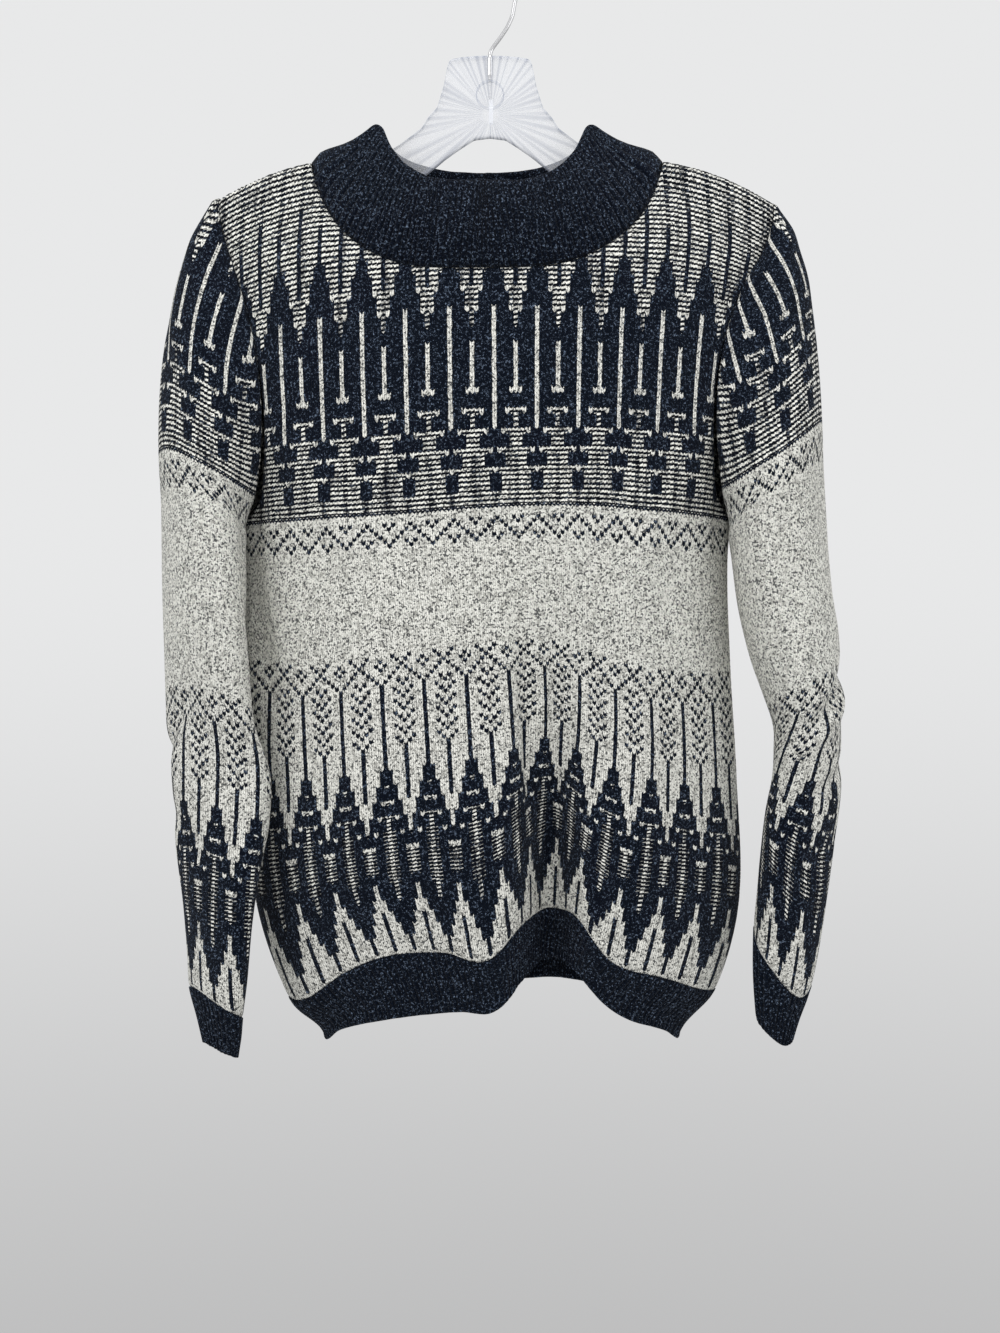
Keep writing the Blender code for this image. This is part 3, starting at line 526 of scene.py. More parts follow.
class Sum:
    """A value socket of a shader, added and compared with Python's own operators."""

    def __init__(self, shader, socket):
        self.shader, self.socket = shader, socket

    __add__ = __radd__ = operator("ADD")
    __sub__, __rsub__ = operator("SUBTRACT"), operator("SUBTRACT", True)
    __mul__ = __rmul__ = operator("MULTIPLY")
    __truediv__, __pow__ = operator("DIVIDE"), operator("POWER")
    above, least, most = operator("GREATER_THAN"), operator("MINIMUM"), operator("MAXIMUM")

    def fract(self):
        return self.shader.node("Math", {"operation": "FRACT"}, {0: self})[0]

    def absolute(self):
        return self.shader.node("Math", {"operation": "ABSOLUTE"}, {0: self})[0]

    def limit(self):
        return self.least(1.0).most(0.0)

    def step(self, low_edge, high_edge):
        """0 below low_edge and 1 above high_edge, smooth between them."""
        return self.shader.node("MapRange", {"interpolation_type": "SMOOTHSTEP"},
                                {"Value": self, "From Min": low_edge,
                                 "From Max": high_edge})[0]


print("operators", [name for name in vars(Sum) if name.startswith("__")][:9])

# %% [markdown]
# ## One class for a material
# It holds one Principled shader.  Constants go straight on its sockets, and one method
# makes every other node from a type, settings and socket values.
# %%
class Shader:
    """A material with one Principled shader and a method for every other node."""

    def __init__(self, name, **constants):
        self.material = bpy.data.materials.new(name)
        self.material.use_nodes = True
        self.tree = self.material.node_tree
        self.surface = self.tree.nodes["Principled BSDF"]
        for key, value in constants.items():
            self.surface.inputs[key.replace("_", " ")].default_value = value

    def node(self, kind, settings, values):
        values = {key: value.socket if isinstance(value, Sum) else value
                  for key, value in values.items()}
        return [Sum(self, socket) for socket in new_node(self.tree, kind, settings, values)]

    def value(self, name):
        return self.node("Attribute", {"attribute_type": "GEOMETRY", "attribute_name": name},
                         {})[2]

    def place(self, name):
        return self.node("UVMap", {"uv_map": name}, {})[0]

    def split(self, vector):
        return self.node("SeparateXYZ", {}, {0: vector})

    def noise(self, vector, scale, detail=2.0, roughness=0.5):
        return self.node("TexNoise", {}, {"Vector": vector, "Scale": scale, "Detail": detail,
                                          "Roughness": roughness})[0]

    def mix(self, share, one, two):
        """A colour between two, by a share from 0 to 1."""
        return self.node("Mix", {"data_type": "RGBA"}, {0: share, 6: one, 7: two})[2]

    def link(self, name, value):
        self.tree.links.new(value.socket, self.surface.inputs[name])

    def bump(self, height, distance, strength=1.0):
        made = self.node("Bump", {}, {"Strength": strength, "Distance": distance,
                                      "Height": height})
        self.link("Normal", made[0])


def rgb(red, green, blue):
    return (red, green, blue, 1.0)


# %% [markdown]
# ## Yarns
# Navy heather is dark blue wool with paler blue-grey hairs spun in, and the cream marl
# has dark flecks.  Loose hair could be real strands, but at this size noise in the
# colour and relief reads the same and keeps the mesh light.
# %%
NAVY_DARK = rgb(0.0012, 0.0036, 0.0100)
NAVY_PALE = rgb(0.1700, 0.2250, 0.3200)
CREAM = rgb(0.960, 0.955, 0.890)
CREAM_SHADE = rgb(0.520, 0.515, 0.475)
FLECK = rgb(0.045, 0.050, 0.055)
# black, towards which the painted shade in the stitches' hollows darkens
PAINTED_SHADE_BLACK = rgb(0.0, 0.0, 0.0)
YARN_RELIEF = 0.0014
WOOL = {"Roughness": 0.95, "Sheen_Weight": 0.03, "Sheen_Roughness": 0.5,
        "Specular_IOR_Level": 0.08}


def yarn_colours(shader):
    """The two yarns' colours at a point of the cloth, and its loose fibres."""
    where = shader.node("TexCoord", {}, {})[3]
    fibres = shader.noise(where, 1300.0, 2.0, 0.7)
    strands = shader.noise(where, 560.0, 2.0, 0.6)
    hairs = (fibres * 0.45 + strands * 0.55).step(0.53, 0.66)
    navy = shader.mix(hairs * 0.95, NAVY_DARK, NAVY_PALE)
    marl = shader.noise(where, 300.0, 3.0, 0.7)
    cream = shader.mix(marl.step(0.36, 0.56), CREAM_SHADE, CREAM)
    flecks = shader.noise(where, 640.0, 1.0, 0.5)
    cream = shader.mix(flecks.step(0.54, 0.62) * 0.90, cream, FLECK)
    return navy, cream, strands


def stitch_place(shader):
    """Column and row of a point, then how far across its stitch it is, how near the
    stitch's middle, and how far along the slanted loop."""
    column, row, _ = shader.split(shader.place("stitch"))
    across = (column + 0.5).fract()
    to_middle = 1.0 - (across * 2.0 - 1.0).absolute()
    return column, row, across, to_middle, (row - to_middle * 0.5).fract()


print("yarn colours", NAVY_DARK[:3], CREAM[:3])

# %% [markdown]
# ## The two-colour face
# A stitch is a pair of slanted loops, with painted shade where they dive under their
# neighbours and between the bars.  A bar is the cream yarn floating across the front.  The
# face attribute says which yarn a stitch shows, so that the pattern is in the knitting and not
# painted on it.
# %%
def knit_material():
    """Two-colour knitting: the face attribute yarn is a mark's number in the chart."""
    shader = Shader("two colour knitting", **WOOL)
    navy, cream, strands = yarn_colours(shader)
    column, row, across, to_middle, along = stitch_place(shader)
    arm = 1.0 - (to_middle * 2.0 - 1.0).absolute() ** 3.0
    ends = 1.0 - (along * 2.0 - 1.0).absolute() ** 4.0
    stitch_relief = arm * 0.55 + ends * 0.45
    yarn = shader.value("yarn")
    is_bar = yarn.above(1.5)
    is_cream = yarn.above(0.5) - is_bar
    is_thin = yarn.above(3.5)
    is_faint = yarn.above(2.5) - is_thin
    wander = shader.noise(shader.node("TexCoord", {}, {})[3], 160.0, 1.0, 0.5) - 0.5
    leaning = row + (across - 0.5) * 0.22 + wander * 0.35
    off_middle = (leaning.fract() - 0.5).absolute()
    half_width = 0.26 + wander * 0.20 - is_faint * 0.10 - is_thin * 0.14
    bar = ((half_width - off_middle) / 0.10 + 0.5).limit()
    twist = (0.5 - (across - 0.5).absolute()).step(-0.08, 0.12)
    pulled = shader.node("CombineXYZ", {}, {0: column * 0.42, 1: row * 0.05})[0]
    hollow = shader.noise(pulled, 1.0, 2.0, 0.6).step(0.44, 0.66)
    held = (1.0 - hollow * 0.55) * (1.0 - is_faint * 0.20 - is_thin * 0.35)
    bar_share = bar * (twist * 0.45 + 0.50) * held
    share = is_cream + is_bar * bar_share + (strands - 0.5) * (is_bar * 0.6 + 0.6)
    colour = shader.mix(share.step(0.16, 0.74), navy, cream)
    relief = stitch_relief * (1.0 - is_bar) + bar * is_bar
    # painted shade: the colour darkens towards black where the stitch relief is low, in the
    # loops' hollows and between the bars
    deep = shader.mix(relief.step(0.0, 0.70) * 0.50 + 0.50, PAINTED_SHADE_BLACK, colour)
    shader.link("Base Color", deep)
    shader.bump(relief * 0.9 + strands * 0.7, YARN_RELIEF, 0.9)
    return shader.material


KNIT = knit_material()
print("knitting nodes", len(KNIT.node_tree.nodes))

# %% [markdown]
# ## Ribbing and the inside
# The ribs stand up in the mesh, so their material adds only the stitches, with painted
# shade where they dip, and hairs.  The inside is seen through the neck alone, where both yarns
# show as a speckle of floats.
# %%
def rib_material():
    """Navy ribbing: fine ribs with the heather's hairs, and painted shade where the stitches
    dip.
    """
    shader = Shader("navy ribbing", **WOOL)
    navy, _cream, strands = yarn_colours(shader)
    _column, _row, _across, to_middle, along = stitch_place(shader)
    relief = (1.0 - (along * 2.0 - 1.0).absolute() ** 4.0) * to_middle.step(0.0, 0.5)
    # painted shade: the navy darkens towards black where the stitches dip
    deep = shader.mix(relief * 0.40 + 0.60, PAINTED_SHADE_BLACK, navy)
    shader.link("Base Color", deep)
    shader.bump(relief * 0.6 + strands * 0.9, YARN_RELIEF, 0.9)
    return shader.material


def inside_material():
    """The back of the knitting, where both yarns run in short bars."""
    shader = Shader("inside of the knitting", Roughness=0.95, Sheen_Weight=0.08)
    navy, cream, strands = yarn_colours(shader)
    where = shader.node("TexCoord", {}, {})[3]
    speckle = shader.noise(where, 260.0, 1.0, 0.5).step(0.46, 0.54)
    shader.link("Base Color", shader.mix(speckle * 0.5, navy, cream))
    shader.bump(strands, 0.0012, 0.8)
    return shader.material


RIB, INSIDE = rib_material(), inside_material()
print("materials", KNIT.name, RIB.name, INSIDE.name)

# %% [markdown]
# ## The chart
# Ten stitches make a repeat, and each half of it mirrors the other, so a row is charted
# by six marks: the stitch on the line, its four neighbours and the one halfway to the
# next line.  `#` is navy, `.` cream, `=` a cream bar, `-` a faint one and `~` a thin one.
# %%
YOKE = [
    # marks, rows
    ("-====-", 14), ("-====#", 4), ("#====#", 7), ("##===#", 3), ("###==#", 3),
    ("###.==", 1), ("####==", 3), (".###.=", 1), (".####=", 3), (".#####", 3),
    (".####.", 9), (".###..", 1), (".#####", 3), (".##.==", 1), (".####=", 3),
    ("##.===", 1), ("####==", 3), ("#.====", 1), ("###==-", 3), (".====-", 1),
    ("##===-", 4), ("-====-", 3), ("######", 1),
]
ZIGZAG = [
    ("......", 2), ("#...#.", 1), (".#...#", 1), ("..#...", 1), ("...#..", 1),
    (".#..#.", 1), ("#....#", 1),
]
WHEAT_TOP = [
    ("...#..", 1), ("#...#.", 1), (".#...#", 1), ("#...#.", 1), ("...#..", 1),
    ("..#...", 1), (".#..#.", 1), ("#....#", 1),
]
WHEAT_EAR = [("#..#..", 1), ("#...#.", 1), ("#....#", 1)]
DARK_STEPS = [
    ("#....#", 5), ("##...#", 4), ("=##..#", 1), ("###..#", 3), ("=.##..", 1),
    ("####..", 3), ("=~.##.", 1), ("=####.", 3), ("=~#.#~", 1), ("=~####", 3),
    ("=~##..", 1), ("=~##~=", 7), ("=~####", 3), ("=####.", 4), ("####..", 3),
    ("###..#", 3), ("##...#", 3), ("#....#", 4), ("......", 1),
]
REPEAT = 10                # stitches in one repeat
FIRST_ROW = -35            # number of the yoke's first row; row 0 starts the long lines


def whole_chart(plain_rows):
    """Marks of every row from the shoulder to the rib, as numbers."""
    bands = (YOKE + ZIGZAG + [("......", plain_rows)] + WHEAT_TOP + WHEAT_EAR * 5
             + DARK_STEPS)
    rows = [marks for marks, count in bands for _ in range(count)]
    return np.array([["#.=-~".index(mark) for mark in marks] for marks in rows])


BODY_CHART, SLEEVE_CHART = whole_chart(25), whole_chart(45)
print("rows charted, body and sleeve:", len(BODY_CHART), len(SLEEVE_CHART))

# %% [markdown]
# ## Where each charted row lies
# Floats pull the rows closer in some bands than in others, so the rows' places go
# through a few measured ones.
# %%
BODY_ROWS = [
    # row, distance down from the shoulder
    (-35, -0.0179), (-30.75, 0.0), (-10, 0.0872), (0, 0.1251), (24, 0.2152),
    (40, 0.2709), (41, 0.272), (49, 0.2952), (76, 0.3752), (102, 0.4516), (122, 0.508),
    (133, 0.539), (151, 0.6),
]
SLEEVE_ROWS = {
    "left": [
        # row, distance down the sleeve
        (-8, -0.028), (0, 0.0), (24, 0.092), (40, 0.156), (41, 0.1576),
        (49, 0.186), (94, 0.334), (122, 0.421), (153, 0.511), (171, 0.565),
    ],
    "right": [
        (-5, -0.028), (0, -0.011), (24, 0.087), (40, 0.156), (41, 0.1576),
        (49, 0.186), (94, 0.334), (122, 0.421), (153, 0.511), (171, 0.565),
    ],
}


def row_places(table, first, last):
    """Places down the cloth of the rows from first to last, through a table's."""
    rows = np.arange(first, last + 1)
    return np.interp(rows, [line[0] for line in table], [line[1] for line in table])


print("body rows end at", BODY_ROWS[-1][1], "sleeve rows at", SLEEVE_ROWS["left"][-1][1])

# %% [markdown]
# ## Folds listed one by one
# Soft troughs and ridges, each along a line from one stitch column and place to
# another.  Height is how far the cloth stands out there, or lies in when negative.
# %%
CREASES = {
    "front": [
        # column, place down, to column, place down, half width, height
        (-52, 0.2, -30, 0.31, 0.015, 0.004),
        (-59, 0.15, -63, 0.3, 0.012, -0.006),
        (-64, 0.29, -58, 0.42, 0.012, -0.004),
        (52, 0.21, 34, 0.325, 0.015, 0.0035),
        (59, 0.15, 63, 0.3, 0.012, -0.006),
        (3, 0.335, 6, 0.52, 0.006, -0.006),
        (9, 0.36, 12, 0.52, 0.007, 0.0035),
        (-3, 0.35, -2, 0.5, 0.007, 0.003),
        (-34, 0.33, -38, 0.56, 0.016, 0.003),
        (36, 0.34, 42, 0.56, 0.015, 0.003),
        (-18, 0.24, -10, 0.4, 0.018, -0.002),
    ],
    "back": [
        (-54, 0.2, -28, 0.33, 0.015, 0.004),
        (-60, 0.15, -64, 0.3, 0.012, -0.005),
        (56, 0.2, 36, 0.33, 0.014, 0.0035),
        (60, 0.15, 64, 0.3, 0.012, -0.005),
        (20, 0.24, 12, 0.52, 0.016, -0.003),
        (-12, 0.3, -20, 0.56, 0.015, 0.003),
    ],
    "left": [
        (-4, 0.05, 12, 0.19, 0.012, -0.003),
        (26, 0.18, 30, 0.33, 0.009, -0.004),
        (6, 0.33, -14, 0.4, 0.009, -0.004),
        (-10, 0.42, 10, 0.47, 0.008, -0.0025),
    ],
    "right": [
        (8, 0.18, -2, 0.3, 0.011, -0.003),
        (24, 0.19, 22, 0.31, 0.009, -0.0035),
        (-10, 0.325, 16, 0.375, 0.007, -0.006),
        (-8, 0.345, 18, 0.4, 0.007, 0.004),
        (-10, 0.4, 12, 0.44, 0.008, -0.0035),
        (-6, 0.46, 12, 0.5, 0.008, -0.0025),
    ],
}


def crease_height(creases, column, place):
    """How far the creases move the cloth out at stitch columns and places."""
    height = np.zeros(column.shape)
    for c0, p0, c1, p1, half_width, out in creases:
        start = np.array([c0 * STITCH, p0])
        way = np.array([c1 * STITCH, p1]) - start
        ax, ay = column * STITCH - start[0], place - start[1]
        share = (ax * way[0] + ay * way[1]) / (way @ way)
        held = np.clip(share, 0.0, 1.0)
        off = np.hypot(ax - held * way[0], ay - held * way[1])
        taper = np.clip(1.0 - (2.0 * share - 1.0) ** 2 * 0.8, 0.0, 1.0)
        height += out * taper * np.exp(-(off / half_width) ** 2)
    return height


print("creases", {name: len(lines) for name, lines in CREASES.items()})

# %% [markdown]
# ## Draped surfaces
# A lattice samples a draped surface evenly in stitches.  Points between its own are read
# from it, together with the direction the cloth faces.  Asking the drape for each stitch
# would give the same cloth much more slowly.
# %%
class Lattice:
    """Points and outward directions of a draped surface over columns and places."""

    def __init__(self, columns, places, points, outward, creases=()):
        self.columns, self.places, self.points = columns, places, points
        self.normals = self.facing(outward)
        if creases:
            height = crease_height(creases, np.broadcast_to(columns, points.shape[:2]),
                                   np.broadcast_to(places[:, None], points.shape[:2]))
            self.points = points + self.normals * height[..., None]
            self.normals = self.facing(outward)

    def facing(self, outward):
        down = np.gradient(self.points, axis=0)
        across = np.gradient(self.points, axis=1)
        facing = np.cross(down, across) * outward
        return facing / np.maximum(np.linalg.norm(facing, axis=2, keepdims=True), 1e-12)

    def read(self, column, place):
        u = np.interp(column, self.columns, np.arange(len(self.columns)))
        v = np.interp(place, self.places, np.arange(len(self.places)))
        i = np.clip(u.astype(int), 0, len(self.columns) - 2)
        j = np.clip(v.astype(int), 0, len(self.places) - 2)
        fu, fv = (u - i)[..., None], (v - j)[..., None]
        found = []
        for values in (self.points, self.normals):
            upper = values[j, i] * (1 - fu) + values[j, i + 1] * fu
            lower = values[j + 1, i] * (1 - fu) + values[j + 1, i + 1] * fu
            found.append(upper * (1 - fv) + lower * fv)
        return found


# %% [markdown]
# ## Sampling the panels and sleeves
# The rows lie closer at the shoulder, where the cloth turns over the ridge.
# %%
def body_lattice(panel):
    columns = np.arange(-70.0, 70.5, 1.0)
    fine = np.arange(0.0, 0.030, 0.0015)
    places = np.concatenate([fine, np.arange(0.030, 0.604, 0.004)])
    points = np.array([[body_point(panel, column, SHOULDER_TOP - place)
                        for column in columns] for place in places])
    return Lattice(columns, places, points, 1.0 if panel == "front" else -1.0,
                   CREASES[panel])


def sleeve_lattice(side):
    """A sleeve's surface over stitches counted from its top line, and the stitch
    columns where each row ends behind and in front."""
    places = np.concatenate([np.arange(-0.024, 0.030, 0.003), np.arange(0.030, 0.570, 0.005)])
    arounds = np.linspace(-1.0, 1.0, 81)
    columns = np.arange(-60.0, 60.5, 1.0)
    points = np.zeros((len(places), len(columns), 3))
    ends = np.zeros((len(places), 2))
    for j, place in enumerate(places):
        line = np.array([sleeve_point(side, around, place) for around in arounds])
        steps = np.linalg.norm(np.diff(line, axis=0), axis=1)
        along = np.concatenate([[0.0], np.cumsum(steps)]) / STITCH
        along -= along[40]
        ends[j] = along[0], along[-1]
        for k in range(3):
            points[j, :, k] = np.interp(columns, along, line[:, k])
    lattice = Lattice(columns, places, points, 1.0 if side == "left" else -1.0,
                      CREASES[side])
    return lattice, ends


print("wall", WALL, "m, stitch", STITCH, "m")

# %% [markdown]
# ## Clean faces
# Stitches pressed against a panel's edge lose corners or fall on each other, so corners
# that meet are merged, and faces that have vanished or doubled are left out.
# %%
def merged(points):
    """Merge corners that meet: which points are kept, and each old corner's new one."""
    keys = np.round(points * 2e5).astype(np.int64)
    _, first, turned = np.unique(keys, axis=0, return_index=True, return_inverse=True)
    return first, turned.reshape(-1)


def boundary(faces):
    """Edges that only one face uses, in that face's direction."""
    edges = {}
    for face in faces:
        for a, b in zip(face, face[1:] + face[:1]):
            edges[(a, b)] = True
    return [edge for edge in edges if (edge[1], edge[0]) not in edges]


def without_repeats(face):
    kept = [corner for k, corner in enumerate(face) if corner != face[k - 1]]
    return kept if len(set(kept)) == len(kept) else []


def real_faces(faces):
    """Faces with at least three corners, less any two that lie on each other, and
    where each was in the list."""
    kept = [(without_repeats(face), place) for place, face in enumerate(faces)]
    twins = Counter(frozenset(face) for face, _place in kept)
    kept = [(face, place) for face, place in kept
            if len(face) >= 3 and twins[frozenset(face)] == 1]
    return [face for face, _place in kept], [place for _face, place in kept]


def grid_faces(lines, wide, outward):
    """Four-cornered faces of a grid of points, their fronts facing outward."""
    a = (np.arange(lines - 1)[:, None] * wide + np.arange(wide - 1)[None, :]).ravel()
    if outward > 0:
        return np.stack([a, a + wide, a + wide + 1, a + 1], axis=1)
    return np.stack([a, a + 1, a + wide + 1, a + wide], axis=1)


print("faces kept of two twins:", len(real_faces([[0, 1, 2], [2, 1, 0]])[0]))

# %% [markdown]
# ## From faces to a piece of cloth
# A Solidify modifier would thicken the cloth too, but here the two layers need their own
# materials and the inside needs fewer faces.  So a second layer lies one wall's thickness
# behind the first, and a rim joins the two in a closed wall like its solid.
# %%
def cloth_piece(name, outside, inside, faces, yarn, stitch, materials, partners):
    """A closed wall of cloth from a grid of outside and inside points.  Away from the
    wall's edges, each point of the inside moves to its partner's place."""
    first, turned = merged(outside)
    layer, places = real_faces(turned[faces].tolist())
    marks = yarn[places].tolist()
    edges = boundary(layer)
    joined = np.arange(len(first))
    joined[turned] = turned[partners]
    edge_corners = np.unique(np.array(edges))
    joined[edge_corners] = edge_corners
    count = len(first)
    behind = [[int(joined[corner]) + count for corner in reversed(face)] for face in layer]
    behind, _places = real_faces(behind)
    rim = [[b, a, a + count, b + count] for a, b in edges]
    everything = layer + behind + rim
    used, renumbered = np.unique([corner for face in everything for corner in face],
                                 return_inverse=True)
    sizes = np.cumsum([len(face) for face in everything])[:-1]
    everything = [face.tolist() for face in np.split(renumbered.reshape(-1), sizes)]
    mesh = bpy.data.meshes.new(name)
    mesh.from_pydata(np.concatenate([outside[first], inside[first]])[used].tolist(), [],
                     everything)
    attribute = mesh.attributes.new("yarn", "FLOAT", "FACE")
    attribute.data.foreach_set("value", marks + [0.0] * (len(behind) + len(rim)))
    corners = np.zeros(len(mesh.loops), dtype=np.int32)
    mesh.loops.foreach_get("vertex_index", corners)
    stitch = stitch[first]
    both = np.concatenate([stitch, stitch])[used]
    layer_of = (used >= count).astype(float)
    low_stitch = stitch.min(axis=0)
    spread_out = (both - low_stitch) / (stitch.max(axis=0) - low_stitch)
    baked = np.stack([np.where(layer_of > 0, 0.90 + spread_out[:, 0] * 0.095,
                               0.005 + spread_out[:, 0] * 0.88),
                      0.995 - spread_out[:, 1] * 0.99], axis=1)
    for map_name, values in (("OFBake", baked), ("stitch", both)):
        uv = mesh.uv_layers.new(name=map_name)
        uv.data.foreach_set("uv", values[corners].astype(np.float32).ravel())
    hidden = np.ones(len(mesh.polygons), dtype=np.int32)
    hidden[:len(layer)] = 0
    mesh.polygons.foreach_set("material_index", hidden)
    mesh.shade_smooth()
    for material in materials:
        mesh.materials.append(material)
    triangles = sum(len(face) - 2 for face in everything)
    print(name, "triangles", triangles, "repaired", mesh.validate())
    return new_object(name, mesh)


# %% [markdown]
# ## Knitting a panel
# Every stitch is two slanted faces, so its colour ends in the small steps that knitting
# shows.  Columns and places are held to the panel's own edges, and the cloth dips a
# little where it is linked to the next piece.
# %%
def knit_panel(name, lattice, table, first, limits, chart, outward):
    halves = np.arange(-140, 141) / 2.0
    lines = row_places(table, first, table[-1][0] + 1)
    lines[-1] = lines[-2] + 0.003
    order = np.arange(len(lines))
    number = order[:, None] + np.where(halves % 1.0 == 0.0, 0.5, 0.0)[None, :]
    uneven = np.random.default_rng(len(name))
    number = number + uneven.normal(0.0, 0.07, number.shape)
    column = halves[None, :] + uneven.normal(0.0, 0.055, number.shape)
    column, place, off_edge = limits(column, np.interp(number, order, lines))
    number = np.interp(place, lines, order)
    points, normals = lattice.read(column, place)
    dip = 0.0009 * np.exp(-(off_edge / 0.0017) ** 2)
    outside = (points - normals * dip[..., None]).reshape(-1, 3)
    inside = (points - normals * WALL).reshape(-1, 3)
    faces = grid_faces(len(lines), len(halves), outward)
    stitch = np.round((halves[:-1] + halves[1:]) / 2.0).astype(int)
    steps = np.abs(stitch) % REPEAT
    marks = chart[first - FIRST_ROW + np.arange(len(lines) - 1).clip(
        max=len(chart) - 1 - (first - FIRST_ROW))][:, np.minimum(steps, REPEAT - steps)]
    stitches = np.stack([column, number], axis=2).reshape(-1, 2)
    partners = np.arange(number.size).reshape(number.shape)
    partners[:, 1::2] -= 1
    return cloth_piece(name, outside, inside, faces, marks.ravel().astype(float), stitches,
                       (KNIT, INSIDE), partners.ravel())


print("half stitches across a panel", int(4 * HALF_COLUMNS))

# %% [markdown]
# ## Where a panel ends
# Each stitch is held to the panel's own edges, and its distance from the nearest one
# says how far the cloth dips into the seam.
# %%
TUCK = 0.7                 # stitches of a panel that lie under the sleeve's edge


def body_limits(panel):
    """Hold columns and places to a body panel: neckline, shoulders, armholes, hem."""
    heights = np.arange(0.0, 0.3, 0.002)
    edges = np.array([panel_edge(SHOULDER_TOP - height) for height in heights])
    columns = np.arange(-70.0, 70.5, 0.5)
    tops = np.array([SHOULDER_TOP - neckline(panel, column) for column in columns])

    def limits(column, place):
        top = np.interp(column, columns, tops)
        place = np.clip(place, top, SHOULDER_TOP - HEM_SEAM)
        edge = np.interp(place, heights, edges)
        edge = edge + np.where(edge < 69.0, TUCK, 0.0)
        off_edge = np.minimum((edge - np.abs(column)).clip(min=0.0) * STITCH,
                              np.minimum(place - top, SHOULDER_TOP - HEM_SEAM - place))
        return np.clip(column, -edge, edge), place, off_edge

    return limits


def sleeve_limits(places, ends):
    def limits(column, place):
        place = np.clip(place, places[0], CUFF_ROW)
        behind = np.interp(place, places, ends[:, 0])
        front = np.interp(place, places, ends[:, 1])
        held = np.clip(column, behind, front)
        off_edge = np.minimum(np.minimum(held - behind, front - held) * STITCH,
                              CUFF_ROW - place)
        return held, place, off_edge

    return limits


print("tuck under the sleeve", round(TUCK * STITCH, 4), "m")

# %% [markdown]
# ## Front, back and sleeves
# The four knitted pieces, each from its own lattice, rows and edges.
# %%
pieces = {}
for panel, outward in (("front", 1.0), ("back", -1.0)):
    pieces[panel] = knit_panel(panel + "_knitting", body_lattice(panel), BODY_ROWS, -34,
                               body_limits(panel), BODY_CHART, outward)
for side, outward in (("left", 1.0), ("right", -1.0)):
    lattice, ends = sleeve_lattice(side)
    pieces["sleeve_" + side] = knit_panel(
        side + "_sleeve_knitting", lattice, SLEEVE_ROWS[side], SLEEVE_ROWS[side][0][0],
        sleeve_limits(lattice.places, ends), SLEEVE_CHART, outward)


# %% [markdown]
# ## Ribbing
# Ribs stand up side by side, each one stitch wide with a deep furrow to the next.  A
# band is a wall round a middle surface; its far edge is rounded over.
# %%
RIB_SAMPLES = 6            # points across one rib


def rib_band(name, lattice, ribs, stitches_down, thickness, relief, outward, rounding,
             waviness):
    """A closed band of ribs on a lattice whose columns and places run from 0 to 1."""
    wide = ribs * RIB_SAMPLES + 1
    across = np.linspace(0.0, 1.0, wide)
    deep = np.concatenate([np.linspace(0.0, 1.0 - rounding, 14),
                           1.0 - rounding * (1.0 - np.sin(np.linspace(0.2, 1.0, 6)
                                                          * math.pi / 2))])
    column, place = np.meshgrid(across, deep)
    points, normals = lattice.read(column, place)
    over = np.clip((place - (1.0 - rounding)) / rounding, 0.0, 1.0)
    half = thickness / 2.0 * np.sqrt(1.0 - over ** 2)
    wave = np.abs(np.cos(math.pi * column * ribs)) ** 0.8 - 0.5
    ridge = wave * relief * np.sqrt(1.0 - over ** 2 * 0.75)
    around = column * 2.0 * math.pi
    ripple = (np.sin(around * 7.0 + 2.0 * place) + 0.6 * np.sin(around * 17.0 - place * 3.0)
              + 0.4 * np.sin(around * 31.0 + place * 5.0))
    points = points + normals * (waviness * ripple * np.sin(place * math.pi / 2.0))[..., None]
    outside = points - normals * (thickness / 2.0 - half - ridge)[..., None]
    inside = points - normals * (thickness / 2.0 + half + ridge * 0.5)[..., None]
    faces = grid_faces(len(deep), wide, outward)
    stitches = np.stack([column * ribs, place * stitches_down], axis=2).reshape(-1, 2)
    return cloth_piece(name, outside.reshape(-1, 3), inside.reshape(-1, 3), faces,
                       np.zeros(len(faces)), stitches, (RIB, RIB), np.arange(place.size))


print("points across a rib", RIB_SAMPLES)

# %% [markdown]
# ## Hem bands, cuffs and collar
# All five are the same kind of band on a different middle surface.
# %%
def band_lattice(points_at, columns, places, outward):
    """A lattice over a band: points_at gives a point for two places from 0 to 1."""
    points = np.array([[points_at(u, v) for u in columns] for v in places])
    return Lattice(columns, places, points, outward)


def hem_points(panel):
    def points_at(u, v):
        return body_point(panel, (2.0 * u - 1.0) * HALF_COLUMNS, HEM_SEAM - HEM_DEPTH * v)

    return points_at


def cuff_points(side):
    def points_at(u, v):
        return sleeve_point(side, 2.0 * u - 1.0, CUFF_ROW + CUFF_DEPTH * v)

    return points_at


fine, coarse = np.linspace(0.0, 1.0, 121), np.linspace(0.0, 1.0, 9)
for panel, outward in (("front", 1.0), ("back", -1.0)):
    pieces["hem_" + panel] = rib_band(
        panel + "_hem_rib", band_lattice(hem_points(panel), fine, coarse, outward),
        96, 16, 0.0032, 0.0006, outward, 0.06, 0.0004)
for side, outward in (("left", 1.0), ("right", -1.0)):
    pieces["cuff_" + side] = rib_band(
        side + "_cuff_rib", band_lattice(cuff_points(side), fine, coarse, outward),
        30, 16, 0.0032, 0.0007, outward, 0.06, 0.0002)
pieces["collar"] = rib_band(
    "collar_rib", band_lattice(lambda u, v: collar_point(360.0 * u, v), fine, coarse, -1.0),
    130, 24, COLLAR_WALL, 0.0010, -1.0, 0.080, 0.0006)


# %% [markdown]
# ## Clear plastic and wire
# The plate has fine rays round a boss, and a ring.  Glass-like transmission would be
# truer but noisy, so the plastic is a gloss with some transparency, denser on its rim.
# Its rays, ring and rim get painted shade, a darker grey for the light they bend.
# %%
RAYS = 46                  # moulded rays round the plate's boss
RAY_CENTRE = (0.0008, -0.1215)
RING_HEIGHT = -0.1063      # middle of the moulded ring above the rays' centre


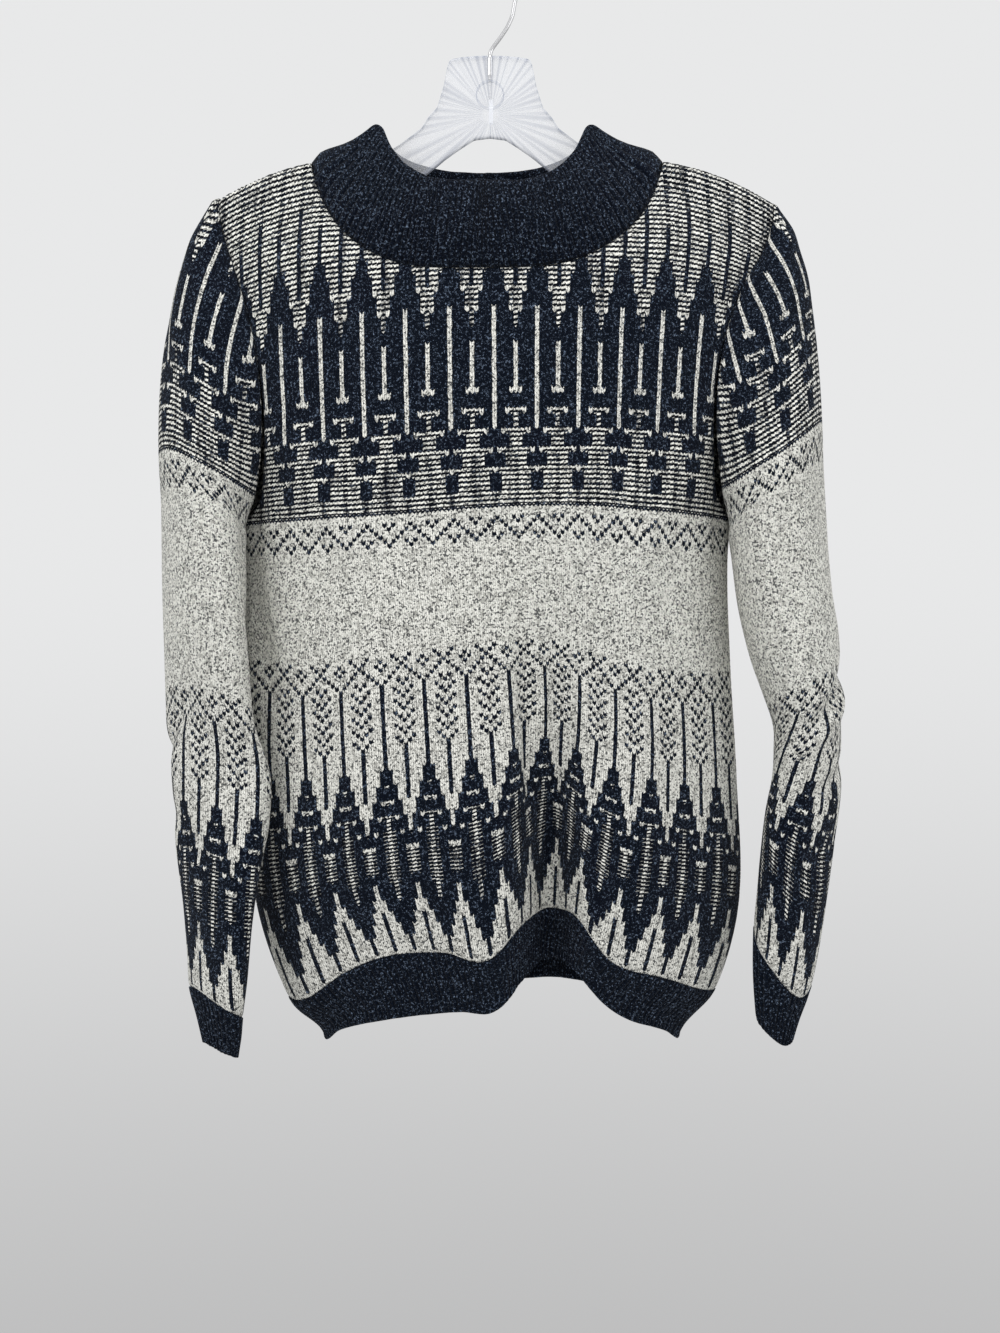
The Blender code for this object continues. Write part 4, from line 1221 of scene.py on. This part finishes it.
def clear_material():
    """Clear plastic that shows mostly by its rays, its rim and its gloss, with painted shade on
    its rays, ring and rim.
    """
    shader = Shader("clear plastic", Roughness=0.10, IOR=1.49)
    x, _y, z = shader.split(shader.node("TexCoord", {}, {})[3])
    up = z - RAY_CENTRE[1]
    angle = shader.node("Math", {"operation": "ARCTAN2"}, {0: up, 1: x - RAY_CENTRE[0]})[0]
    away = (x * x + up * up) ** 0.5
    turn = angle * (RAYS / (2.0 * math.pi))
    uneven = shader.node("TexNoise", {"noise_dimensions": "1D"},
                         {"W": turn * 0.9, "Scale": 1.0, "Detail": 2.0})[0]
    ray = ((turn + uneven * 1.4).fract() * 2.0 - 1.0).absolute().step(0.35, 0.95)
    outside_boss = away.step(0.0040, 0.0080)
    ray = ray * outside_boss
    over = z - RING_HEIGHT
    ring_away = (x * x + over * over) ** 0.5
    ring = 1.0 - (ring_away - 0.0105).absolute().step(0.0002, 0.0008)
    slot = (1.0 - (x - RAY_CENTRE[0]).absolute().step(0.0012, 0.0020)) * (
        1.0 - (up - 0.002).absolute().step(0.0085, 0.0095))
    rim = shader.value("rim")
    # painted shade: rays, ring and rim are drawn a darker grey where the plastic bends light
    painted_refraction_shade = (ray * 0.75 + ring * 0.6 + rim * 0.35).limit()
    colour = shader.mix(painted_refraction_shade * (1.0 - slot), rgb(0.88, 0.90, 0.95), rgb(0.42, 0.45, 0.53))
    shader.link("Base Color", colour)
    shader.link("Alpha", (0.24 + ray * 0.18 + ring * 0.4 + rim * 0.45 + slot * 0.5).limit())
    return shader.material


def wire_material():
    return Shader("bright steel wire", Base_Color=rgb(0.62, 0.62, 0.63), Metallic=1.0,
                  Roughness=0.22).material


print("rays", RAYS, "round", RAY_CENTRE)

# %% [markdown]
# ## The hanger's outline
# The middle is a plate with an arch under it.  The arms follow the shoulders' slope a
# little below the cloth, so that the jumper rests on them.
# %%
def mesh_object(name, points, faces, material):
    mesh = bpy.data.meshes.new(name)
    mesh.from_pydata([tuple(point) for point in points], [], faces)
    check = bmesh.new()
    check.from_mesh(mesh)
    bmesh.ops.recalc_face_normals(check, faces=check.faces)
    check.to_mesh(mesh)
    check.free()
    mesh.shade_smooth()
    mesh.materials.append(material)
    return new_object(name, mesh)


HANGER_OUTLINE = [
    # x,      top,      bottom
    (0.0, -0.0762, -0.1397),
    (0.012, -0.0766, -0.1412),
    (0.0208, -0.0774, -0.1467),
    (0.0285, -0.0786, -0.152),
    (0.0312, -0.08, -0.154),
    (0.033, -0.085, -0.1553),
    (0.0354, -0.099, -0.157),
    (0.0408, -0.1163, -0.1617),
    (0.0477, -0.124, -0.1672),
    (0.0527, -0.1321, -0.17),
    (0.0685, -0.144, -0.1745),
    (0.085, -0.1545, -0.179),
    (0.108, -0.164, -0.183),
]
ARM_OUTLINE = [
    # x,    how far below the cloth, depth of the arm
    (0.135, 0.012, 0.0155),
    (0.155, 0.008, 0.014),
    (0.172, 0.0046, 0.013),
    (0.184, 0.004, 0.012),
    (0.193, 0.0042, 0.01),
    (0.197, 0.0055, 0.006),
]


def hanger_half(side):
    """Stations from the middle to one arm's end: x, top, bottom and half thickness."""
    stations = [(x, top, bottom, 0.0022 + 0.0008 * fade(-x, -0.045, -0.110))
                for x, top, bottom in HANGER_OUTLINE]
    for x, below, depth in ARM_OUTLINE:
        top = shoulder_line(side * x) - below
        stations.append((x, top, top - depth, 0.0030))
    places = [station[0] for station in stations]
    found = []
    for x in np.linspace(0.0, places[-1], 160):
        found.append((side * x,) + tuple(
            float(np.interp(x, places, [station[k] for station in stations]))
            for k in (1, 2, 3)))
    return found


print("arm ends", ARM_OUTLINE[-1][0], "m out")

# %% [markdown]
# ## The moulding
# Rays and rim are raised in the mesh, because they catch the light along their edges,
# which a flat plate with a drawn pattern would not.
# %%
RIM, RAY_RISE = 0.0006, 0.0004   # how far the rim and the rays stand up


def hanger_piece():
    """The moulding: a grid over its height at each station, front and back, with rays
    standing up on the plate and a thicker rim along its edges."""
    stations = hanger_half(-1.0)[:0:-1] + hanger_half(1.0)
    steps = 36
    points, faces, rims = [], [], []
    for x, top, bottom, half in stations:
        for layer in (-1.0, 1.0):
            for k in range(steps + 1):
                share = k / steps
                z = top + (bottom - top) * share
                edge = min(z - bottom, top - z)
                rim = RIM * math.exp(-(edge / 0.0016) ** 2)
                rims.append(rim / RIM)
                ease = math.sqrt(max(0.0, 1.0 - (1.0 - min(1.0, edge / 0.0008)) ** 2))
                ray_x, ray_z = x - RAY_CENTRE[0], z - RAY_CENTRE[1]
                angle = math.atan2(ray_z, ray_x)
                away = math.hypot(ray_x, ray_z)
                on_plate = fade(-edge, -0.001, -0.004) * fade(away, 0.052, 0.040)
                ray = RAY_RISE * on_plate * abs(math.sin(angle * RAYS / 2.0))
                points.append((x, layer * (half * (0.35 + 0.65 * ease) - 0.0005 + rim + ray),
                               z))
    wide = 2 * (steps + 1)
    for i in range(len(stations) - 1):
        for k in range(steps):
            for start, turned in ((0, False), (steps + 1, True)):
                a = i * wide + start + k
                face = [a, a + wide, a + wide + 1, a + 1]
                faces.append(face[::-1] if turned else face)
        for k in (0, steps):
            a, b = i * wide + k, i * wide + steps + 1 + k
            faces.append([a, b, b + wide, a + wide])
    for i in (0, len(stations) - 1):
        for k in range(steps):
            a = i * wide + k
            b = a + steps + 1
            faces.append([a, a + 1, b + 1, b])
    piece = mesh_object("hanger_moulding", points, faces, clear_material())
    attribute = piece.data.attributes.new("rim", "FLOAT", "POINT")
    attribute.data.foreach_set("value", rims)
    return piece


pieces["hanger"] = hanger_piece()
print("hanger faces", len(pieces["hanger"].data.polygons))

# %% [markdown]
# ## The wire hook
# One wire, bent twice in its shank and swept round the open hook.  Its threaded end
# shows inside the clear boss as a thinner pin.
# %%
WIRE_SIDES = 16


def wire_piece():
    """The hook's wire, swept round a smooth curve."""
    bend = HOOK_INSIDE_RADIUS + WIRE_RADIUS
    path = [(0.0, -0.1120), (0.0, -0.0760), (0.0006, -0.0722), (0.0030, -0.0688),
            (0.0085, -0.0615), (0.0135, -0.0540), (0.0173, -0.0455)]
    turns = np.radians(np.arange(-30, 206, 5))
    path += [(math.cos(t) * bend, -HOOK_INSIDE_RADIUS + math.sin(t) * bend) for t in turns]
    path = np.array(path)
    along = np.concatenate([[0.0], np.cumsum(np.hypot(*np.diff(path, axis=0).T))])
    stations = np.linspace(0.0, along[-1], 140)
    line = np.stack([np.interp(stations, along, path[:, k]) for k in (0, 1)], axis=1)
    for _ in range(3):
        line[1:-1] = (line[:-2] + 2 * line[1:-1] + line[2:]) / 4.0
    points, faces, sides = [], [], WIRE_SIDES
    for k, (x, z) in enumerate(line):
        ahead = line[min(k + 1, len(line) - 1)] - line[max(k - 1, 0)]
        ahead /= np.linalg.norm(ahead)
        end = min(k, len(line) - 1 - k)
        radius = WIRE_RADIUS * (0.6 if end == 0 else 1.0)
        if z < -0.0775:
            radius = 0.0007 + 0.0010 * fade(z, -0.0960, -0.0950) * fade(-z, 0.0990, 0.0980)
            radius += 0.0006 * fade(-z, 0.0930, 0.0920)
        for n in range(sides):
            turn = 2 * math.pi * n / sides
            points.append((x - ahead[1] * math.cos(turn) * radius,
                           math.sin(turn) * radius,
                           z + ahead[0] * math.cos(turn) * radius))
    for k in range(len(line) - 1):
        for n in range(sides):
            a, b = k * sides + n, k * sides + (n + 1) % sides
            faces.append([a, b, b + sides, a + sides])
    faces.append(list(range(sides))[::-1])
    faces.append(list(range((len(line) - 1) * sides, len(line) * sides)))
    return mesh_object("hook_wire", points, faces, wire_material())


pieces["hook"] = wire_piece()
print("hook faces", len(pieces["hook"].data.polygons))

# %% [markdown]
# ## Naming each piece's place and cut
# Every piece stands for the solid of the same name and belongs to the one body.  Front
# and back are 140 stitches wide, from shoulder to hem seam.  Sleeves, hems and collar
# have a usual cut for this size.  The cuffs' width is the mean of the two as they are
# modelled, which differ, so it is no cut that is known by itself.
# %%
FLAT = {
    # piece: width, length, area
    "front": (0.434, 0.600, 0.236),
    "back": (0.434, 0.600, 0.243),
    "sleeve": (0.300, 0.580, 0.125),
    "hem": (0.400, 0.045, None),
    "cuff": (0.130, 0.046, None),
    "collar": (0.520, 0.066, None),
}
for node, piece in pieces.items():
    kind = node if node in FLAT else node.split("_")[0]
    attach(piece, "root")
    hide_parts(node)
    if kind not in FLAT:
        continue
